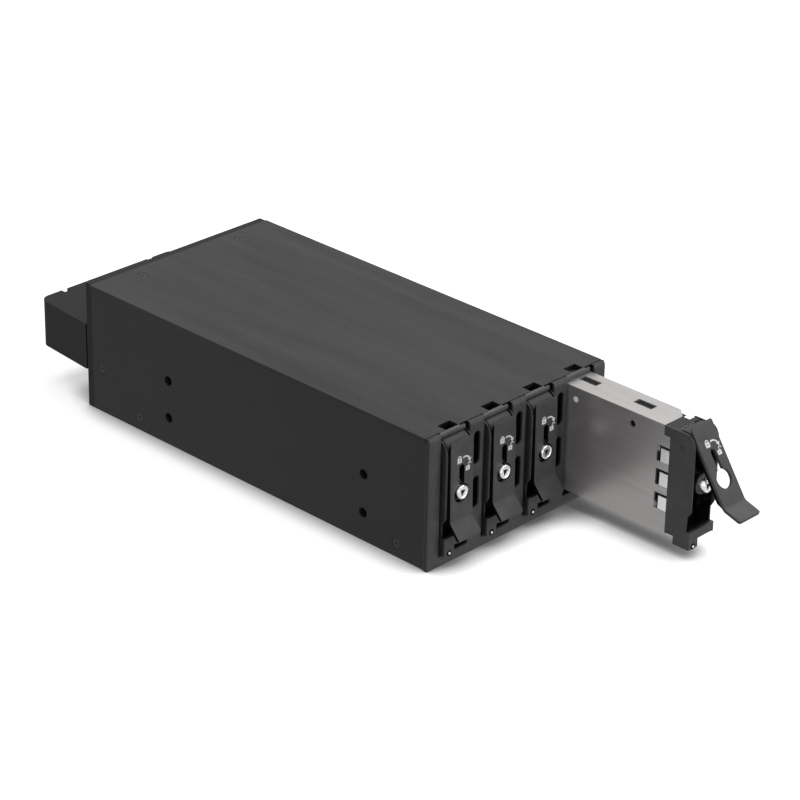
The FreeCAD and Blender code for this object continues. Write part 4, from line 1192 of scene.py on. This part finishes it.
@dataclass(frozen=True)
class LockCylinder(Assembly):
    """Lock of a tray, made about its axis: bright rim, sunk key face, barrel and cam."""

    body: str = "tray_{bay}_lock"
    own_slot: str = "lock_chrome"
    height: float = 22.1
    face: float = -74.2
    radius: float = 2.05
    end: float = -63.7
    cam_end: float = -62.9
    sunk: float = 0.22

    def place(self) -> Matrix:
        """Give the move from the lock's axis to its place at rest."""
        return super().place() @ Matrix.Translation((0.0, 0.0, self.height))

    def build(self) -> list[Piece]:
        """Build the barrel with its cam, which replaces the CAD lock, and the key slot's painted shade.

        Returns:
            The two pieces.
        """
        steps = ((1.62, 0.06), (1.75, 0.0), (1.92, 0.05), (self.radius, 0.25))
        profile = [(0.0, self.face + self.sunk), (1.5, self.face + self.sunk)]
        profile += [(radius, self.face + back) for radius, back in steps]
        profile += [(self.radius, self.end), (0.0, self.end)]
        barrel = Shape().drum(profile, (0.0, 0.0, 0.0), Axis.Y, 56)
        barrel.add(Shape().prism(rectangle(-1.0, -4.2, 1.0, 1.0), Axis.Y, self.end, self.cam_end))
        lock = self.keep("barrel", barrel, LOCK)
        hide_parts(f"tray_{self.bay}_lock")
        # a black prism sunk in the key face is the painted shade of the key slot
        key = [(-0.72, 0.72), (0.95, 0.5), (-0.3, -1.05)]
        slot = Shape().prism(key, Axis.Y, self.face + 0.12, self.face + 0.6)
        return [lock, self.keep("keyway", slot, HOLE_SHADE)]


@dataclass(frozen=True)
class TrayTrim(Assembly):
    """Small parts of a tray and of its bezel."""

    body: str = "tray_{bay}"
    own_slot: str = "bezel_plastic"
    half: float = 5.2
    inner: float = 4.7
    tab_first: float = 12.1
    tab_pitch: float = 7.2
    glide: Point = (0.0, -30.4, 34.2)
    boss: Point = (3.2, 0.0, 16.6)
    lens: Point = (-3.3, 0.0, 4.2)

    def film(self) -> Shape:
        """Build the sheet of painted shade that lines the tray's wall and top."""
        film = Shape().prism(rectangle(-63.9, 6.3, 25.4, 37.15), Axis.X, -4.1, -3.95)
        return film.prism(rectangle(-3.95, -61.4, 4.7, 25.4), Axis.Z, 37.05, 37.18)

    def tabs(self) -> Shape:
        """Build the bent tabs in the windows beside the bezel.

        Returns:
            The shape.
        """
        tabs = Shape()
        for index in range(3):
            low = self.tab_first + self.tab_pitch * index
            section = [(-5.16, low + 0.05), (-4.99, low + 0.05), (-4.99, low + 3.95), (-5.05, low + 3.95)]
            tabs.prism(section, Axis.Y, -64.05, -61.15)
        return tabs

    def button(self) -> Shape:
        """Build the nylon button in the tray's wall."""
        profile = [(0.0, -5.24), (0.7, -5.23), (0.95, -5.19), (0.95, -4.7), (0.0, -4.7)]
        return Shape().drum(profile, self.glide, Axis.X, 28)

    def floor(self) -> Shape:
        """Build the floor and lower back of the bezel's inside."""
        floor = Shape().prism(rectangle(-self.inner, -70.1, self.inner, -65.1), Axis.Z, 5.95, 6.5)
        return floor.prism(rectangle(-self.inner, 6.5, self.inner, 9.6), Axis.Y, -66.0, -65.1)

    def brow(self) -> Shape:
        """Build the front edge of the bezel's roof and the round shoulders of its walls.

        Returns:
            The shape.
        """
        roof = [(-66.3, 37.78), (-65.9, 37.52), (-65.4, 37.17), (-64.45, 37.17), (-64.45, 37.88)]
        roof.append((-66.3, 37.88))
        shoulder = [(-69.7, 37.9), (-70.8, 37.6), (-71.7, 36.8), (-72.35, 35.5), (-72.65, 34.2)]
        shoulder.append((BEZEL_FACE, 33.1))
        brow = Shape().prism(roof, Axis.X, -self.inner, 4.4)
        brow.prism(shoulder, Axis.X, -self.half, -self.inner)
        return brow.prism(shoulder, Axis.X, self.inner, self.half)

    def bosses(self) -> Shape:
        """Build the screw boss and the block below the lock.

        Returns:
            The shape.
        """
        ring = [(0.55, -70.4), (0.6, -71.3), (0.75, -71.4), (1.05, -71.4), (1.2, -71.2), (1.2, -65.2)]
        bosses = Shape().drum([*ring, (0.55, -65.2)], self.boss, Axis.Y, 32)
        return bosses.prism(rectangle(-1.0, 15.2, 0.9, 17.0), Axis.Y, -71.2, -65.2)

    def tip(self) -> Shape:
        """Build the light pipe's clear tip."""
        profile = [(0.0, -73.02), (0.22, -73.0), (0.36, -72.9), (0.36, -67.0), (0.0, -67.0)]
        return Shape().drum(profile, self.lens, Axis.Y, 24)

    def collar(self) -> Shape:
        """Build the dark collar round the light pipe."""
        profile = [(0.42, -72.78), (0.8, -72.78), (0.9, BEZEL_FACE), (0.9, -67.2), (0.42, -67.2)]
        return Shape().drum(profile, self.lens, Axis.Y, 24)

    def build(self) -> list[Piece]:
        """Build every small part, the clear tip replacing the CAD light pipe.

        Returns:
            The pieces.
        """
        pieces = [
            self.keep("film", self.film(), SHADE_SHEET, slot="guide_plastic"),
            # the tabs' bright steel is a painted highlight
            self.keep("tabs", self.tabs(), LIT_TAB_STEEL, slot="tray_steel"),
            self.keep("glide", self.button(), GLIDE, slot="tray_steel"),
            # the bezel's floor and lower back are painted near-black as shade
            self.keep("bezel_floor", self.floor(), SHADE_SHEET),
            self.keep("bezel_brow", self.brow(), bezel_finish(self.bay)),
            self.keep("bosses", self.bosses(), BLACK_AND_SHADE, 0.2),
        ]
        tip = self.keep("lens", self.tip(), LENS, slot="light_pipe")
        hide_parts(f"tray_{self.bay}_light_pipe")
        return [*pieces, tip, self.keep("lens_collar", self.collar(), BLACK_AND_SHADE)]


class Repeater:
    """Geometry Nodes tree that sets copies of a small part on the points of a mesh."""

    def __init__(self, name: str) -> None:
        """Build the tree.

        Args:
            name: name of the tree.
        """
        tree = bpy.data.node_groups.new(name, "GeometryNodeTree")
        for label in ("Geometry", "Object", "Vector", "Material"):
            tree.interface.new_socket(label, in_out="INPUT", socket_type=f"NodeSocket{label}")
        tree.interface.new_socket("Geometry", in_out="OUTPUT", socket_type="NodeSocketGeometry")
        given = tree.nodes.new("NodeGroupInput")
        made = tree.nodes.new("NodeGroupOutput")
        part = tree.nodes.new("GeometryNodeObjectInfo")
        points = tree.nodes.new("GeometryNodeMeshToPoints")
        copies = tree.nodes.new("GeometryNodeInstanceOnPoints")
        real = tree.nodes.new("GeometryNodeRealizeInstances")
        paint = tree.nodes.new("GeometryNodeSetMaterial")
        for source, outlet, target, inlet in (
            (given, "Object", part, "Object"),
            (given, "Geometry", points, "Mesh"),
            (points, "Points", copies, "Points"),
            (part, "Geometry", copies, "Instance"),
            (given, "Vector", copies, "Rotation"),
            (copies, "Instances", real, "Geometry"),
            (real, "Geometry", paint, "Geometry"),
            (given, "Material", paint, "Material"),
            (paint, "Geometry", made, "Geometry"),
        ):
            tree.links.new(source.outputs[outlet], target.inputs[inlet])
        self.tree = tree

    def copies(self, part: Piece, places: Sequence[Point], turn: Point, finish: Finish) -> Shape:
        """Make copies of a part.

        Args:
            part: object whose mesh is copied, in millimetres.
            places: where the copies go.
            turn: how each copy is turned, as Euler angles.
            finish: finish of the copies.

        Returns:
            The copies as one shape.
        """
        seeds = bpy.data.meshes.new("seeds")
        seeds.from_pydata(list(places), [], [])
        carrier = bpy.data.objects.new("seeds", seeds)
        bpy.context.scene.collection.objects.link(carrier)
        modifier = carrier.modifiers.new("Copies", "NODES")
        modifier.node_group = self.tree
        values = {"Object": part, "Vector": turn, "Material": finish.material()}
        for item in self.tree.interface.items_tree:
            if item.in_out == "INPUT" and item.name in values:
                modifier[item.identifier] = values[item.name]
        bpy.context.view_layer.update()
        evaluated = carrier.evaluated_get(bpy.context.evaluated_depsgraph_get())
        shape = Shape().take(bpy.data.meshes.new_from_object(evaluated))
        bpy.data.objects.remove(carrier)
        bpy.data.meshes.remove(seeds)
        return shape


@dataclass(frozen=True)
class CageScrews(Assembly):
    """Countersunk screws of the cover and of the sides, with their cross recesses."""

    own_slot: str = "dark_screw"
    radius: float = 1.5
    recess: float = 0.2
    turn: float = 0.5
    cover: Point = (19.4, 61.3, 39.9)
    side_x: float = 34.9
    side_places: tuple[Flat, ...] = ((-58.9, 4.1), (46.1, 4.1), (62.5, 14.0))

    def head(self) -> Shape:
        """Turn the head of a screw, facing up, its rim at the origin's height.

        Returns:
            The shape.
        """
        steps = ((0.0, -0.03), (0.72, -0.03), (0.92, -0.08), (0.97, -0.16), (0.6, -0.48), (0.0, -0.48))
        profile = [(self.radius * share, height) for share, height in steps]
        return Shape().drum(profile, (0.0, 0.0, 0.0), Axis.Z, 32)

    def cross(self) -> Shape:
        """Build the cross that fills a recess as its painted shade, facing up, centred on the origin.

        Returns:
            The shape.
        """
        arm = self.radius * 0.62
        half = self.radius * 0.13
        outline = []
        for x, y in ((-1.0, -1.0), (1.0, -1.0), (1.0, 1.0), (-1.0, 1.0)):
            corner = [(x * arm, y * half), (x * half, y * half), (x * half, y * arm)]
            outline += corner if x * y > 0.0 else corner[::-1]
        shape = Shape().prism(outline, Axis.Z, -self.recess, -0.01)
        return shape.transform(Matrix.Rotation(self.turn, 4, "Z"))

    def build(self) -> list[Piece]:
        """Set the heads, which replace the CAD screws, and the painted shade of the recesses.

        Returns:
            The four pieces.
        """
        head = bpy.data.objects.new("screw_head", self.head().copy_to("screw_head"))
        recess = bpy.data.objects.new("screw_recess", self.cross().copy_to("screw_recess"))
        repeater = Repeater("screw_copies")
        quarter = math.pi / 2.0
        x, y, z = self.cover
        left, right = ([(side, *place) for place in self.side_places] for side in (-self.side_x, self.side_x))
        pieces = []
        for node, rows in (
            ("cover_screws", (([(-x, y, z), (x, y, z)], 0.0),)),
            ("side_screws", ((left, -quarter), (right, quarter))),
        ):
            heads = Shape()
            crosses = Shape()
            for row, turn in rows:
                heads.add(repeater.copies(head, row, (0.0, turn, 0.0), DARK_SCREW))
                crosses.add(repeater.copies(recess, row, (0.0, turn, 0.0), HOLE_SHADE))
            screws = self.keep(node + "_heads", heads, DARK_SCREW)
            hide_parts(node)
            pieces += [screws, self.keep(node + "_recesses", crosses, HOLE_SHADE)]
        for part in (head, recess):
            bpy.data.objects.remove(part)
        return pieces


@dataclass(frozen=True)
class PhotoCamera:
    """Camera solved from the photograph.

    Attributes:
        azimuth: degrees round the object, 0 looking along +Y.
        elevation: degrees above the floor.
        roll: degrees that the camera is turned about its own line of sight.
        origin_px: where the middle of the lower front edge of the box lies in the picture.
        distance: from that point to the camera along the line of sight.
        focal_px: focal length in pixels.
        image_px: side of the square picture in pixels.
    """

    azimuth: float = -46.1933
    elevation: float = 26.4132
    roll: float = 1.1555
    origin_px: Flat = (510.679, 527.006)
    distance: float = 839.32
    focal_px: float = 3032.2
    image_px: float = 800.0

    def axes(self) -> tuple[Vector, Vector, Vector]:
        """Work out the right, up and back directions of the camera.

        Returns:
            The three directions.
        """
        azimuth, elevation, roll = (math.radians(v) for v in (self.azimuth, self.elevation, self.roll))
        flat = math.cos(elevation)
        back = Vector((math.sin(azimuth) * flat, -math.cos(azimuth) * flat, math.sin(elevation)))
        level = Vector((math.cos(azimuth), math.sin(azimuth), 0.0))
        upright = back.cross(level)
        right = math.cos(roll) * level + math.sin(roll) * upright
        up = math.cos(roll) * upright - math.sin(roll) * level
        return right, up, back

    def build(self) -> None:
        """Place the camera as the photograph was taken."""
        right, up, back = self.axes()
        half = self.image_px / 2.0
        across, down = ((value - half) / self.focal_px * self.distance for value in self.origin_px)
        place = Vector((0.0, CAGE_FRONT, 0.0)) + back * self.distance - right * across + up * down
        data = bpy.data.cameras.new("photo_camera")
        data.sensor_width = 36.0
        data.lens = data.sensor_width * self.focal_px / self.image_px
        data.clip_start = 0.02
        data.clip_end = 20.0
        camera = bpy.data.objects.new("photo_camera", data)
        turn = Matrix((right, up, back)).transposed().to_4x4()
        camera.matrix_world = Matrix.Translation(place * MM) @ turn
        bpy.context.scene.collection.objects.link(camera)
        bpy.context.scene.camera = camera


@dataclass(frozen=True)
class Lamp:
    """One rectangular studio lamp, its lengths in metres and its power in watts."""

    name: str
    place: Point
    target: Point
    size: Flat
    power: float

    def build(self) -> None:
        """Hang the lamp."""
        data = bpy.data.lights.new(self.name, "AREA")
        data.shape = "RECTANGLE"
        data.size, data.size_y = self.size
        data.energy = self.power
        piece = bpy.data.objects.new(self.name, data)
        line = Vector(self.place) - Vector(self.target)
        turn = line.to_track_quat("Z", "Y").to_matrix().to_4x4()
        piece.matrix_world = Matrix.Translation(Vector(self.place)) @ turn
        bpy.context.scene.collection.objects.link(piece)


@dataclass(frozen=True)
class Studio:
    """Soft light from all round, three lamps, and a pale floor that throws little light back.

    Attributes:
        lamps: the lamps.
        world_levels: strength of the world as a light, and where it is seen or mirrored.
        floor_half: half of the side of the floor, in metres.
        floor_white: how pale the floor is where it is seen.
        floor_bounce: how much light it throws back.
        floor_glow: strength of the glow that keeps it white.
        floor_mirrored: strength of the floor in reflections.
        contact_reach: how far the painted shadow round the object reaches.
        contact_range: openness of a point where that shade is full, and where it ends.
    """

    lamps: tuple[Lamp, ...] = (
        Lamp("overhead_lamp", (0.42, -0.05, 1.05), (0.0, 0.0, 0.0), (1.3, 1.3), 11.5),
        Lamp("front_lamp", (0.35, -1.10, 0.55), (0.0, -0.05, 0.02), (0.7, 0.7), 4.2),
        Lamp("left_lamp", (-1.15, -0.75, 0.4), (0.0, -0.08, 0.02), (0.9, 0.6), 4.0),
    )
    world_levels: Flat = (0.25, 1.0)
    floor_half: float = 6.0
    floor_white: float = 0.5
    floor_bounce: float = 0.35
    floor_glow: float = 0.78
    floor_mirrored: float = 0.8
    contact_reach: float = 14.0
    contact_range: Flat = (0.4, 0.8)

    def light_world(self) -> None:
        """Light the scene softly from all round, with plain white behind the object."""
        world = bpy.data.worlds.new("studio")
        bpy.context.scene.world = world
        graph = Graph(world, "ShaderNodeOutputWorld")
        paths = graph.add("ShaderNodeLightPath").outputs
        clear = graph.math("MAXIMUM", paths["Is Camera Ray"], paths["Is Glossy Ray"])
        lit, seen = (
            graph.add("ShaderNodeBackground", Color=WHITE, Strength=level).outputs[0]
            for level in self.world_levels
        )
        graph.finish(graph.mix(clear, lit, seen))

    def fill_paper(self, graph: Graph) -> None:
        """Make the floor's paper white where it is seen, with a painted shadow close to the object.

        Args:
            graph: the node tree of its material.
        """
        paths = graph.add("ShaderNodeLightPath").outputs
        seen, unseen = (
            graph.add("ShaderNodeBsdfDiffuse", Color=(*even(level), 1.0)).outputs[0]
            for level in (self.floor_white, self.floor_bounce)
        )
        mirrored = graph.add("ShaderNodeEmission", Color=WHITE, Strength=self.floor_mirrored)
        glow = graph.add("ShaderNodeEmission", Color=WHITE)
        # painted shadow: the glow that keeps the floor white fades with ambient occlusion near the object
        contact = graph.add("ShaderNodeAmbientOcclusion", samples=24, Distance=self.contact_reach * MM)
        strength = graph.remap(contact.outputs["AO"], self.contact_range, (0.0, self.floor_glow))
        graph.link(strength, glow.inputs["Strength"])
        lifted = graph.add("ShaderNodeAddShader")
        graph.link(seen, lifted.inputs[0])
        graph.link(glow.outputs[0], lifted.inputs[1])
        choice = graph.mix(paths["Is Camera Ray"], unseen, lifted.outputs[0])
        graph.finish(graph.mix(paths["Is Glossy Ray"], choice, mirrored.outputs[0]))

    def lay_floor(self) -> None:
        """Lay the floor."""
        mesh = bpy.data.meshes.new("floor")
        corners = rectangle(-self.floor_half, -self.floor_half, self.floor_half, self.floor_half)
        mesh.from_pydata([(*corner, 0.0) for corner in corners], [], [(0, 1, 2, 3)])
        floor = bpy.data.objects.new("floor", mesh)
        bpy.context.scene.collection.objects.link(floor)
        paper = bpy.data.materials.new("floor_paper")
        self.fill_paper(Graph(paper, "ShaderNodeOutputMaterial"))
        mesh.materials.append(paper)

    def build(self) -> None:
        """Build the world, the lamps and the floor."""
        self.light_world()
        for lamp in self.lamps:
            lamp.build()
        self.lay_floor()


def main() -> None:
    """Build the dressed scene and report each piece."""
    logging.basicConfig(level=logging.INFO)
    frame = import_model()
    dress_nodes(frame["nodes"])
    assemblies: list[Assembly] = [FrontFrame()]
    for bay in BAYS:
        assemblies += [LatchLever(bay), LockCylinder(bay), TrayTrim(bay)]
    assemblies.append(CageScrews())
    for assembly in assemblies:
        for piece in assembly.build():
            LOG.info("%s made %s", type(assembly).__name__, piece.name)
    PhotoCamera().build()
    Studio().build()
    bpy.context.scene.view_settings.view_transform = "Standard"
    bpy.context.view_layer.update()


if __name__ == "__main__":
    main()
